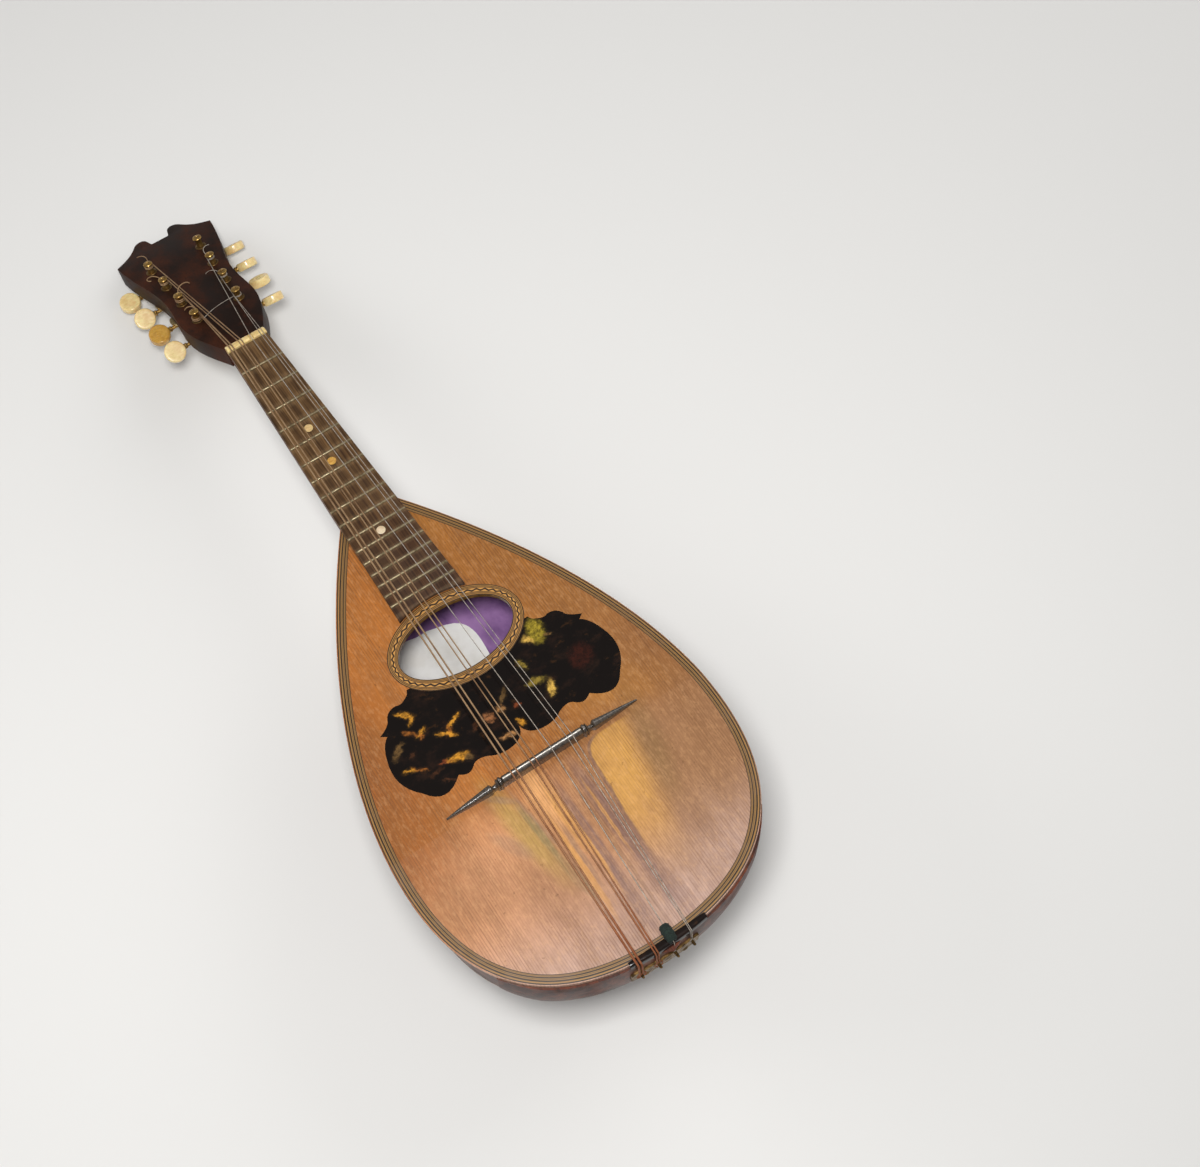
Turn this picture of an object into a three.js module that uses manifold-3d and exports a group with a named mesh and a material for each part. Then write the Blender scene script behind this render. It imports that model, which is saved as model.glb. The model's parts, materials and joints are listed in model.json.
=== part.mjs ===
// A bowlback mandolin: a bent soundboard on a ribbed bowl, a neck, a pitched head and geared tuners.
// Millimetres. The pieces are built with the nut's front edge at zero on the fingerboard's top,
// x to the treble side, y to the head and z out of the soundboard. The last lines lay the whole
// instrument down as it rests, on the keel of its bowl and the tip of its head.

import * as THREE from "three";
import { mergeVertices } from "three/addons/utils/BufferGeometryUtils.js";
import Module from "manifold-3d";

const wasm = await Module();
wasm.setup();

// Clearances
const joint_gap = 0.3;
const cut_over = 6;

// Strings
const scale_length = 335;
const string_diameters = { G: 1.0, D: 0.76, A: 0.46, E: 0.4 };
const pair_spread_nut = 1.9;
const pair_spread_bridge = 3.1;
const course_pitch_nut = 6.9;
const course_pitch_bridge = 11.9;
const course_pitch_tail = 10.7;
const tail_centre_x = -3.5;
const coil_turns = 2;
const coil_clear = 0.15;
const string_sides = 6;
const coil_steps = 10;

// Fingerboard, nut and neck
const fret_count = 17;
const body_fret = 10;
const board_thickness = 3;
const nut_half_width = 13.6;
const board_end_half_width = 21.2;
const board_overrun = 22;
const fret_width = 1.6;
const fret_height = 0.9;
const nut_length = 5.5;
const nut_height = 1.6;
const nut_back_drop = 1.4;
const neck_depth_nut = 17;
const neck_depth_mid = 19;
const neck_steps = 8;
const neck_facets = 12;

// Soundboard
const top_thickness = 3;
const inlay_depth = 0.9;
const fold_from_nut = 341;
const fold_angle = THREE.MathUtils.degToRad(5);
const hole_from_nut = 245;
const hole_half_length = 35.5;
const hole_half_height = 21;
const rosette_width = 6.2;
const rosette_height = 7.6;
const ring_steps = 44;

// Body outline
const join_half_width = 19;
const body_half_width = 100.5;
const widest_from_nut = 358;
const tail_from_nut = 455.5;
const outline_front_steps = 10;
const outline_tail_steps = 9;
const front_pull_shares = [[0.558, 0.308], [1, 0.678]];
const tail_pull_shares = [[1, 0.615], [0.697, 1]];

// Bowl
const rib_count = 9;
const rib_thickness = 1.8;
const bowl_depth = 140;
const deepest_from_nut = 345;
const heel_depth = 28;
const bowl_roundness = 2.15;
const heel_pull_shares = [[0.3, 0.36], [0.68, 1]];
const keel_pull_shares = [[0.52, 0], [1, 0.4]];
const rib_end_share = 0.93;
const lining_thickness = 0.4;
const label_centre_x = -16;
const label_centre_from_nut = 226;
const label_half_width = 34;
const label_half_height = 25;
const label_thickness = 0.25;
const label_rows = 6;
const label_columns = 4;
const neck_block_length = 32;
const tail_block_length = 16;
const clasp_thickness = 1;
const clasp_half_width = 84;
const clasp_drop_centre = 46;
const clasp_drop_side = 16;
const clasp_steps = 9;

// Braces glued across under the soundboard
const brace_width = 6;
const brace_height = 11;
const brace_tip_height = 4;
const brace_tip_length = 26;
const brace_places = { above_hole: 209, below_hole: 285 };

// Pickguard
const guard_half_width = 71;
const guard_top_from_nut = 257.5;
const guard_height = 64;
const guard_curve_steps = 4;

// Tail
const edge_guard_half_width = 24;
const edge_guard_reach = 3.2;
const edge_guard_thickness = 1;
const hitch_half_width = 21;
const hitch_height = 13;
const hitch_drop = 9;
const hitch_thickness = 1;
const hook_radius = 1.1;
const hook_length = 4;
const felt_width = 6.4;
const felt_height = 3.4;
const felt_length = 10;
const felt_slot = 1.6;

// Bridge
const bridge_from_nut = 335.5;
const bridge_half_length = 62;
const bridge_height = 8;
const bridge_thickness = 5;
const bridge_section_points = 8;

// Head, pitched back from the nut
const head_pitch = THREE.MathUtils.degToRad(18.5);
const head_thickness = 13;
const head_length = 160.5;
const head_half_width = 35;
const head_curve_steps = 5;

// Tuners, four on each side of the head
const posts_per_side = 4;
const first_post_x = 14.9;
const first_post_from_nut = 44.3;
const post_pitch = 25.3;
const row_splay = THREE.MathUtils.degToRad(2.6);
const post_radius = 2.3;
const post_cap_radius = 3.1;
const post_cap_height = 1.2;
const post_height = 7.6;
const post_hole_radius = 0.7;
const post_hole_below_top = 2.4;
const coil_top_heights = [3.2, 5.0, 5.4, 5.8];
const post_sides = 12;
const bore_sides = 6;
const plate_thickness = 1.2;
const plate_half_width = 7.5;
const plate_end_margin = 9;
const plate_lobe = 3.4;
const plate_lobe_steps = 4;
const gear_teeth = 14;
const gear_pitch_radius = 5.5;
const gear_addendum = 0.55;
const gear_dedendum = 0.75;
const gear_thickness = 4;
const gear_stand = 0.9;
const gear_screw_radius = 2.2;
const gear_screw_height = 1.1;
const gear_slot_width = 0.6;
const gear_slot_depth = 0.5;
const tooth_tip_share = 0.26;
const tooth_root_share = 0.5;
const worm_core_radius = 1.5;
const worm_crest_radius = 2.5;
const worm_axis_distance = 8;
const worm_half_length = 3.1;
const worm_thread_half_width = 0.62;
const worm_steps_per_turn = 8;
const shaft_radius = 1.2;
const shaft_sides = 8;
const lug_width = 2.2;
const lug_length = 5.2;
const lug_arc_steps = 6;
const lug_offset = 3.9;
const button_reach = 20.6;
const button_radius = 6.9;
const button_thickness = 5.4;
const button_edge = 0.9;
const button_bore_depth = 5;
const button_sides = 20;
// Degrees each button stands turned on its shaft, from the nut to the head's tip
const button_turns = { bass: [50, 28, 52, 26], treble: [-31, -19, -31, -29] };

// Heights that follow from the sizes above
const top_z = -board_thickness;
const top_underside_z = top_z - top_thickness;
const rim_start_z = top_underside_z - joint_gap;
const fretY = (n) => scale_length * 2 ** (-n / 12) - scale_length;
const body_start_y = fretY(body_fret);
const rest_z = top_z + joint_gap;

const materials = {
  spruce: new THREE.MeshStandardMaterial({ color: 0xc07f3c, roughness: 0.5 }),
  rosewood: new THREE.MeshStandardMaterial({ color: 0x3a1d12, roughness: 0.4 }),
  fingerboard: new THREE.MeshStandardMaterial({ color: 0x4a3026, roughness: 0.6 }),
  head: new THREE.MeshStandardMaterial({ color: 0x2b1711, roughness: 0.3 }),
  bone: new THREE.MeshStandardMaterial({ color: 0xe6d29a, roughness: 0.4 }),
  brass: new THREE.MeshStandardMaterial({ color: 0xa0844a, roughness: 0.4, metalness: 1 }),
  steel: new THREE.MeshStandardMaterial({ color: 0xb9b3a6, roughness: 0.3, metalness: 1 }),
  shell: new THREE.MeshStandardMaterial({ color: 0x1d100b, roughness: 0.15 }),
  ebony: new THREE.MeshStandardMaterial({ color: 0x1c1712, roughness: 0.2 }),
  blockwood: new THREE.MeshStandardMaterial({ color: 0xb98d5c, roughness: 0.7 }),
  inlay: new THREE.MeshStandardMaterial({ color: 0x9c7436, roughness: 0.5 }),
  paper: new THREE.MeshStandardMaterial({ color: 0x8d5fa0, roughness: 0.9 }),
  label: new THREE.MeshStandardMaterial({ color: 0xe4e4dc, roughness: 0.9 }),
  felt: new THREE.MeshStandardMaterial({ color: 0x16241f, roughness: 1 }),
};

// Solids from geometries, and the joining and cutting of them
const v2 = (x, y) => new THREE.Vector2(x, y);
const v3 = (x, y, z) => new THREE.Vector3(x, y, z);

function toSolid(geometry) {
  const bare = geometry.clone();
  bare.deleteAttribute("normal");
  bare.deleteAttribute("uv");
  const merged = mergeVertices(bare);
  const mesh = new wasm.Mesh({
    numProp: 3,
    vertProperties: merged.attributes.position.array,
    triVerts: new Uint32Array(merged.index.array),
  });
  return new wasm.Manifold(mesh);
}

function toGeometry(solid) {
  const mesh = solid.getMesh();
  const geometry = new THREE.BufferGeometry();
  geometry.setAttribute("position", new THREE.BufferAttribute(mesh.vertProperties, 3));
  geometry.setIndex(new THREE.BufferAttribute(mesh.triVerts, 1));
  return geometry;
}

const join = (first, ...others) =>
  toGeometry(others.reduce((sum, one) => sum.add(toSolid(one)), toSolid(first)));
const cut = (first, ...others) =>
  toGeometry(others.reduce((rest, one) => rest.subtract(toSolid(one)), toSolid(first)));
const common = (first, second) => toGeometry(toSolid(first).intersect(toSolid(second)));

// A closed surface from points and triangles, its faces turned out
function closedSurface(points, triangles) {
  let volume = 0;
  const normal = v3(0, 0, 0);
  for (const [a, b, c] of triangles) {
    normal.crossVectors(points[b], points[c]);
    volume += points[a].dot(normal);
  }
  const turned = volume < 0 ? triangles.map(([a, b, c]) => [a, c, b]) : triangles;
  const geometry = new THREE.BufferGeometry().setFromPoints(points);
  geometry.setIndex(turned.flat());
  return geometry;
}

// Joins closed rings of equally many points, and caps both ends from their middles
function loft(rings) {
  const count = rings[0].length;
  const points = rings.flat();
  const triangles = [];
  for (let i = 0; i < rings.length - 1; i++) {
    for (let j = 0; j < count; j++) {
      const a = i * count + j;
      const b = i * count + (j + 1) % count;
      triangles.push([a, b, b + count], [a, b + count, a + count]);
    }
  }
  for (const end of [0, rings.length - 1]) {
    const middle = points.length;
    const centre = v3(0, 0, 0);
    rings[end].forEach((p) => centre.addScaledVector(p, 1 / count));
    points.push(centre);
    for (let j = 0; j < count; j++) {
      const a = end * count + j;
      const b = end * count + (j + 1) % count;
      triangles.push(end ? [a, b, middle] : [b, a, middle]);
    }
  }
  return closedSurface(points, triangles);
}

// A sheet with an outer and an inner grid of points, closed along its four borders
function sheet(outer, inner) {
  const rows = outer.length;
  const columns = outer[0].length;
  const points = [...outer.flat(), ...inner.flat()];
  const at = (side, i, j) => side * rows * columns + i * columns + j;
  const triangles = [];
  const quad = (a, b, c, d) => triangles.push([a, b, c], [a, c, d]);
  for (let i = 0; i < rows - 1; i++) {
    for (let j = 0; j < columns - 1; j++) {
      quad(at(0, i, j), at(0, i, j + 1), at(0, i + 1, j + 1), at(0, i + 1, j));
      quad(at(1, i, j), at(1, i + 1, j), at(1, i + 1, j + 1), at(1, i, j + 1));
    }
    quad(at(0, i, 0), at(0, i + 1, 0), at(1, i + 1, 0), at(1, i, 0));
    const last = columns - 1;
    quad(at(0, i + 1, last), at(0, i, last), at(1, i, last), at(1, i + 1, last));
  }
  for (let j = 0; j < columns - 1; j++) {
    quad(at(0, 0, j + 1), at(0, 0, j), at(1, 0, j), at(1, 0, j + 1));
    const last = rows - 1;
    quad(at(0, last, j), at(0, last, j + 1), at(1, last, j + 1), at(1, last, j));
  }
  return closedSurface(points, triangles);
}

// A flat outline given depth between two heights
function prism(outline, low, high) {
  const settings = { depth: high - low, bevelEnabled: false };
  return new THREE.ExtrudeGeometry(new THREE.Shape(outline), settings).translate(0, 0, low);
}

function box(x0, x1, y0, y1, z0, z1) {
  const block = new THREE.BoxGeometry(x1 - x0, y1 - y0, z1 - z0);
  return block.translate((x0 + x1) / 2, (y0 + y1) / 2, (z0 + z1) / 2);
}

// A round bar along z
const rod = (radius, low, high, sides) =>
  new THREE.CylinderGeometry(radius, radius, high - low, sides)
    .rotateX(Math.PI / 2)
    .translate(0, 0, (low + high) / 2);

const ellipse = (rx, ry, cy, steps) =>
  Array.from({ length: steps }, (unused, i) => {
    const turn = (2 * Math.PI * i) / steps;
    return v2(rx * Math.cos(turn), cy + ry * Math.sin(turn));
  });

// Moves each point of an outline out along the mean of its two edges' normals
function offsetOutline(outline, distance) {
  const turn = THREE.ShapeUtils.isClockWise(outline) ? -1 : 1;
  return outline.map((point, i) => {
    const before = outline.at(i - 1);
    const after = outline[(i + 1) % outline.length];
    const along = after.clone().sub(before).normalize();
    return v2(point.x + turn * distance * along.y, point.y - turn * distance * along.x);
  });
}

// A path through given points, each one a step of the sweep
class Route extends THREE.Curve {
  constructor(points) {
    super();
    this.points = points;
  }

  index(share) {
    return Math.round(share * (this.points.length - 1));
  }

  getPoint(share) {
    return this.points[this.index(share)].clone();
  }

  getPointAt(share) {
    return this.getPoint(share);
  }

  getTangent(share) {
    const i = this.index(share);
    const after = this.points[Math.min(i + 1, this.points.length - 1)];
    const before = this.points[Math.max(i - 1, 0)];
    return after.clone().sub(before).normalize();
  }

  getTangentAt(share) {
    return this.getTangent(share);
  }
}

function sweep(outline, points) {
  const settings = { steps: points.length - 1, extrudePath: new Route(points), bevelEnabled: false };
  return new THREE.ExtrudeGeometry(new THREE.Shape(outline), settings);
}

// The body's outline and the bowl's keel, each two curves that meet level at the widest point
function halfCurves(start, wide, end, front_shares, tail_shares) {
  const along = (from, to, [x_share, y_share]) =>
    v2(from.x + (to.x - from.x) * x_share, from.y + (to.y - from.y) * y_share);
  const front = new THREE.CubicBezierCurve(
    start, along(start, wide, front_shares[0]), along(start, wide, front_shares[1]), wide);
  const tail_one = v2(wide.x + (end.x - wide.x) * (1 - tail_shares[0][0]),
    wide.y + (end.y - wide.y) * tail_shares[0][1]);
  const tail_two = v2(wide.x + (end.x - wide.x) * (1 - tail_shares[1][0]),
    wide.y + (end.y - wide.y) * tail_shares[1][1]);
  return { front, tail: new THREE.CubicBezierCurve(wide, tail_one, tail_two, end) };
}

// The x of a curve at a given y, which falls all along it
function xAt(curves, y) {
  const curve = y > curves.front.v3.y ? curves.front : curves.tail;
  let low = 0;
  let high = 1;
  for (let i = 0; i < 40; i++) {
    const middle = (low + high) / 2;
    if (curve.getPoint(middle).y > y) low = middle;
    else high = middle;
  }
  return curve.getPoint((low + high) / 2).x;
}

const outlineCurves = (offset) => halfCurves(
  v2(join_half_width + offset, body_start_y),
  v2(body_half_width + offset, -widest_from_nut),
  v2(0, -tail_from_nut - offset),
  front_pull_shares,
  tail_pull_shares,
);

// How far the soundboard has dropped behind the fold across it
const foldDrop = (y) => Math.max(0, -fold_from_nut - y) * Math.tan(fold_angle);
const rimZ = (y) => rim_start_z - foldDrop(y);

function keelCurves(offset) {
  const end_z = rimZ(-tail_from_nut);
  return halfCurves(
    v2(-heel_depth - offset, body_start_y),
    v2(-bowl_depth - offset, -deepest_from_nut),
    v2(end_z, -tail_from_nut - offset),
    heel_pull_shares.map(([along_share, drop_share]) => [drop_share, along_share]),
    keel_pull_shares.map(([along_share, rise_share]) => [1 - rise_share, along_share]),
  );
}

function bowlShape(offset) {
  const outline = outlineCurves(offset);
  const keel = keelCurves(offset);
  return { offset, halfWidth: (y) => xAt(outline, y), keelZ: (y) => xAt(keel, y) };
}

const powered = (value) => Math.sign(value) * Math.abs(value) ** (2 / bowl_roundness);

function bowlPoint(shape, y, angle) {
  const rim = rimZ(y);
  return v3(
    shape.halfWidth(y) * powered(Math.sin(angle)),
    y,
    rim - (rim - shape.keelZ(y)) * powered(Math.cos(angle)),
  );
}

const seam_angles = Array.from({ length: rib_count + 1 }, (unused, i) => Math.PI * (i / rib_count - 0.5));
const outline_steps = [
  ...Array.from({ length: outline_front_steps }, (unused, i) => ["front", i / outline_front_steps]),
  ...Array.from({ length: outline_tail_steps + 1 }, (unused, i) => ["tail", i / outline_tail_steps]),
];

// Stations along the bowl, close together towards the tail
function stations(shape_offset, last_share) {
  const curves = outlineCurves(shape_offset);
  return outline_steps.map(([part, share]) => {
    const reached = part === "tail" ? share * last_share : share;
    return curves[part].getPoint(reached).y;
  });
}

const ribShell = bowlShape(0);
const ribInside = bowlShape(-rib_thickness);
const rib_end_y = stations(0, rib_end_share).at(-1);
const bowl_stations = stations(0, rib_end_share);
bowl_stations[0] -= joint_gap;
const insideStations = bowl_stations.map((y) => Math.max(y, -tail_from_nut + 1.2 * rib_thickness));

function rib(i) {
  const rows = (shape, ys) => ys.map((y) => {
    const a = bowlPoint(shape, y, seam_angles[i]);
    const b = bowlPoint(shape, y, seam_angles[i + 1]);
    const half_gap = a.clone().sub(b).setLength(joint_gap / 2);
    return [a.sub(half_gap), b.add(half_gap)];
  });
  return sheet(rows(ribShell, bowl_stations), rows(ribInside, insideStations));
}

// A closed ring of the bowl's section, with its top at the rim or above it
function bowlRing(shape, y, raise) {
  const ring = seam_angles.map((angle) => bowlPoint(shape, y, angle));
  if (raise) {
    ring.unshift(v3(ring[0].x, y, ring[0].z + raise));
    ring.push(v3(ring.at(-1).x, y, ring.at(-1).z + raise));
  }
  return ring;
}

function between(first, last, steps) {
  return Array.from({ length: steps + 1 }, (unused, i) => first + ((last - first) * i) / steps);
}

function neckBlock() {
  const shape = bowlShape(-rib_thickness - joint_gap);
  const start = body_start_y - 2 * joint_gap;
  return loft(between(start, start - neck_block_length, 3).map((y) => bowlRing(shape, y, 0)));
}

function tailBlock() {
  const shape = bowlShape(-rib_thickness - 2 * joint_gap);
  const end = rib_end_y;
  return loft(between(end + tail_block_length, end, 4).map((y) => bowlRing(shape, y, 0)));
}

function clasp() {
  const near = bowlShape(joint_gap);
  const far = bowlShape(joint_gap + clasp_thickness);
  const tail = (shape) => outlineCurves(shape.offset).tail;
  const ring_ys = (shape) => between(0.4, 0.99, clasp_steps).map((share) => tail(shape).getPoint(share).y);
  const outer = loft(ring_ys(far).map((y) => bowlRing(far, y, 0)));
  const inner = loft(ring_ys(near).map((y) => bowlRing(near, y, cut_over)));
  const rim = rimZ(-tail_from_nut);
  const low = (share) => clasp_drop_side + (clasp_drop_centre - clasp_drop_side) * Math.cos(share);
  const lower_edge = between(-Math.PI / 2, Math.PI / 2, clasp_steps).map(
    (turn) => v2(clasp_half_width * Math.sin(turn), rim - low(turn)));
  const band = prism(
    [...lower_edge, v2(clasp_half_width, top_z), v2(-clasp_half_width, top_z)],
    widest_from_nut + tail_block_length,
    tail_from_nut + cut_over,
  ).rotateX(Math.PI / 2);
  return common(cut(outer, inner), band);
}

// The paper that lines the bowl, and the label on it
const lining_start_y = body_start_y - neck_block_length - 3 * joint_gap;
const lining_end_y = rib_end_y + tail_block_length + joint_gap;
const liningOutside = bowlShape(-rib_thickness - 1.5 * joint_gap);
const liningInside = bowlShape(-rib_thickness - 1.5 * joint_gap - lining_thickness);
const lining_short_share = 0.12;
const lining_stations = [
  lining_start_y,
  ...bowl_stations.filter((y) => y < lining_start_y && y > lining_end_y),
  lining_end_y,
];

function paperLining() {
  const grid = (shape) => lining_stations.map((y) => {
    const ring = bowlRing(shape, y, 0);
    ring[0].lerp(ring[1], lining_short_share);
    ring.at(-1).lerp(ring.at(-2), lining_short_share);
    return ring;
  });
  return sheet(grid(liningOutside), grid(liningInside));
}

// Height of the lining's inner face at a given x and y, on its flats
function liningFloor(x, y) {
  const next = lining_stations.findIndex((station) => station < y);
  const [near, far] = [lining_stations[next - 1], lining_stations[next]];
  const heightIn = (station) => {
    const ring = bowlRing(liningInside, station, 0);
    const column = Math.max(1, ring.findIndex((p) => p.x > x));
    const [left, right] = [ring[column - 1], ring[column]];
    return THREE.MathUtils.mapLinear(x, left.x, right.x, left.z, right.z);
  };
  return THREE.MathUtils.mapLinear(y, near, far, heightIn(near), heightIn(far));
}

// Soundboard pieces behind the fold are sheared down with it
function shearDown(geometry) {
  const slope = Math.tan(fold_angle);
  const shear = new THREE.Matrix4().set(
    1, 0, 0, 0,
    0, 1, 0, 0,
    0, slope, 1, slope * fold_from_nut,
    0, 0, 0, 1,
  );
  return geometry.applyMatrix4(shear);
}

function outlinePoints(offset) {
  const curves = outlineCurves(offset);
  const right = outline_steps.map(([part, share]) => curves[part].getPoint(share));
  const left = right.slice(0, -1).reverse().map((p) => v2(-p.x, p.y));
  return [...right, ...left];
}

// The scratchplate's outline from its middle notch round to the rosette, right half:
// each row is a curve's control point and end, across and down
const guard_curve_shares = [
  [0.02, 0.97, 0.17, 0.975, 0.02, 0.84],
  [0.27, 0.975, 0.32, 0.93],
  [0.42, 0.88, 0.46, 0.93],
  [0.52, 1.0, 0.595, 0.93],
  [0.78, 1.12, 0.9, 0.9],
  [1.06, 0.72, 0.985, 0.47],
  [0.95, 0.33, 0.885, 0.285],
  [0.9, 0.27, 0.93, 0.25],
  [0.86, 0.22, 0.82, 0.17],
  [0.79, 0.07, 0.7, 0.075],
  [0.66, 0.1, 0.6, 0.055],
  [0.57, 0.04, 0.56, 0.0],
];

function guardOutline() {
  const place = (x_share, y_share) =>
    v2(guard_half_width * x_share, -guard_top_from_nut - guard_height * y_share);
  const half = new THREE.Path();
  half.moveTo(0, place(0, guard_curve_shares[0][5]).y);
  for (const [cx, cy, x, y] of guard_curve_shares) {
    const control = place(cx, cy);
    const end = place(x, y);
    half.quadraticCurveTo(control.x, control.y, end.x, end.y);
  }
  const right = half.getPoints(guard_curve_steps);
  const left = right.slice(1).reverse().map((p) => v2(-p.x, p.y));
  return [...left, ...right];
}

function rosetteOutline(offset) {
  return ellipse(hole_half_length + rosette_width + offset, hole_half_height + rosette_height + offset,
    -hole_from_nut, ring_steps);
}

const holeOutline = (offset) =>
  ellipse(hole_half_length + offset, hole_half_height + offset, -hole_from_nut, ring_steps);

function soundboard() {
  const outline = outlinePoints(0);
  const whole = prism(outline, top_underside_z, top_z);
  const reach = body_half_width + cut_over;
  const fold = -fold_from_nut;
  const front_half = box(-reach, reach, fold, cut_over, top_underside_z - cut_over, cut_over);
  const tail_half = box(-reach, reach, -tail_from_nut - cut_over, fold, top_underside_z - cut_over, cut_over);
  const front = common(whole, front_half);
  const tail = shearDown(common(whole, tail_half));
  const hole = prism(holeOutline(0), top_underside_z - cut_over, cut_over);
  const seat_z = top_z - inlay_depth - joint_gap;
  const rosette_seat = prism(rosetteOutline(joint_gap), seat_z, cut_over);
  const guard_seat = prism(offsetOutline(guardOutline(), joint_gap), seat_z, cut_over);
  return cut(join(front, tail), hole, rosette_seat, guard_seat);
}

function rosette() {
  const ring = prism(rosetteOutline(0), top_z - inlay_depth, top_z);
  return cut(ring, prism(holeOutline(joint_gap), top_z - cut_over, cut_over));
}

function pickguard() {
  const plate = prism(guardOutline(), top_z - inlay_depth, top_z);
  return cut(plate, prism(rosetteOutline(joint_gap), top_z - cut_over, cut_over));
}

function edgeGuard() {
  const skirt_end = top_underside_z - joint_gap;
  const lip_top = top_z + joint_gap + edge_guard_thickness;
  const skin = prism(outlinePoints(joint_gap + edge_guard_thickness), skirt_end, lip_top);
  const board = prism(outlinePoints(joint_gap), skirt_end - cut_over, top_z + joint_gap);
  const window_near = -tail_from_nut + edge_guard_reach;
  const window_far = -tail_from_nut - cut_over;
  const reach = edge_guard_half_width;
  const span = box(-reach, reach, window_far, window_near, skirt_end - cut_over, lip_top + cut_over);
  return shearDown(common(cut(skin, board), span));
}

function brace(from_nut) {
  const top = top_underside_z - joint_gap;
  const inside = liningInside;
  const depth_y = -from_nut;
  const half = inside.halfWidth(depth_y) - 2 * joint_gap - brace_width;
  const tip = half - brace_tip_length;
  const outline = [
    v2(-half, top), v2(-half, top - brace_tip_height), v2(-tip, top - brace_height),
    v2(tip, top - brace_height), v2(half, top - brace_tip_height), v2(half, top),
  ];
  return prism(outline, from_nut - brace_width / 2, from_nut + brace_width / 2).rotateX(Math.PI / 2);
}

// Neck, fingerboard and nut
const board_end_y = fretY(fret_count) - board_overrun;
function boardHalfWidth(y) {
  return nut_half_width + (board_end_half_width - nut_half_width) * (y / fretY(fret_count));
}

function fingerboard() {
  const corners = [
    v2(-nut_half_width, 0), v2(nut_half_width, 0),
    v2(boardHalfWidth(board_end_y), board_end_y), v2(-boardHalfWidth(board_end_y), board_end_y),
  ];
  const plank = prism(corners, rest_z, 0);
  const frets = Array.from({ length: fret_count }, (unused, i) => {
    const y = fretY(i + 1);
    const reach = boardHalfWidth(y) - fret_width / 2;
    const wire = [
      v2(-fret_width / 2, -fret_height), v2(fret_width / 2, -fret_height), v2(fret_width / 2, fret_height / 2),
      v2(fret_width / 4, fret_height), v2(-fret_width / 4, fret_height), v2(-fret_width / 2, fret_height / 2),
    ];
    return sweep(wire.map((p) => v2(-p.y, p.x)), [v3(-reach, y, 0), v3(reach, y, 0)]);
  });
  const end = prism(rosetteOutline(joint_gap), rest_z - cut_over, cut_over);
  return cut(join(plank, ...frets), end);
}

function nut() {
  const back = nut_height - nut_back_drop;
  const profile = [
    v2(joint_gap, rest_z), v2(joint_gap, nut_height), v2(nut_length / 2, nut_height),
    v2(nut_length - joint_gap, back), v2(nut_length - joint_gap, rest_z),
  ];
  const block = prism(profile, -nut_half_width, nut_half_width);
  return block.rotateX(Math.PI / 2).rotateZ(Math.PI / 2);
}

const headMatrix = new THREE.Matrix4()
  .makeRotationX(-head_pitch)
  .setPosition(0, nut_length, top_z);

function neck() {
  const end_y = body_start_y;
  const depthAt = (share) => {
    const grip = neck_depth_nut + (neck_depth_mid - neck_depth_nut) * share;
    return grip + (heel_depth - neck_depth_mid) * share ** 6;
  };
  const ring = (y) => {
    const share = Math.max(0, y / end_y);
    const half = nut_half_width + (join_half_width - nut_half_width) * share;
    const depth = depthAt(share) - board_thickness;
    const arc = between(-Math.PI / 2, Math.PI / 2, neck_facets).map((angle) =>
      v3(half * powered(Math.sin(angle)), y, top_z - depth * powered(Math.cos(angle))));
    return arc;
  };
  const ys = [head_thickness, ...between(0, end_y, neck_steps)];
  const handle = loft(ys.map(ring));
  const reach = head_half_width + cut_over;
  const headside = box(-reach, reach, -joint_gap, head_length, -head_length, head_thickness);
  return cut(handle, headside.applyMatrix4(headMatrix));
}

// The head's outline in its own plane, from the nut up the treble side to the top notch:
// each row is a curve's two control points and end, across and along
const head_curve_shares = [
  [0.47, 0.06, 0.73, 0.16, 0.745, 0.275],
  [0.755, 0.36, 0.7, 0.41, 0.705, 0.47],
  [0.71, 0.62, 0.94, 0.72, 1, 0.895],
  [0.82, 0.915, 0.68, 0.925, 0.5, 0.98],
  [0.42, 1.008, 0.29, 1.008, 0.24, 0.99],
  [0.2, 0.975, 0.2, 0.945, 0.165, 0.943],
];

function headOutline() {
  const half = new THREE.Path();
  half.moveTo(nut_half_width, 0);
  for (const row of head_curve_shares) {
    const [ax, ay, bx, by, x, y] = row.map((share, i) => share * (i % 2 ? head_length : head_half_width));
    half.bezierCurveTo(ax, ay, bx, by, x, y);
  }
  const right = half.getPoints(head_curve_steps);
  const left = right.slice().reverse().map((p) => v2(-p.x, p.y));
  return [...right, ...left];
}

const postPlace = (side, k) => v2(
  side * (first_post_x + k * post_pitch * Math.sin(row_splay)),
  first_post_from_nut + k * post_pitch * Math.cos(row_splay),
);

function headstock() {
  const blank = prism(headOutline(), -head_thickness, 0);
  const bores = [];
  for (const side of [-1, 1]) {
    for (let k = 0; k < posts_per_side; k++) {
      const place = postPlace(side, k);
      const bore = rod(post_radius + joint_gap, -head_thickness - cut_over, cut_over, post_sides);
      bores.push(bore.translate(place.x, place.y, 0));
    }
  }
  return cut(blank, ...bores);
}

// Tuners, in the frame of one row: x out to the buttons, y along the row to the head's tip,
// z out of the head's face, with zero at the first post
const plate_top_z = -head_thickness - joint_gap;
const plate_back_z = plate_top_z - plate_thickness;
const gear_top_z = plate_back_z - gear_stand;
const gear_back_z = gear_top_z - gear_thickness;
const worm_z = (gear_top_z + gear_back_z) / 2;
const gear_circular_pitch = (2 * Math.PI * gear_pitch_radius) / gear_teeth;

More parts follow.
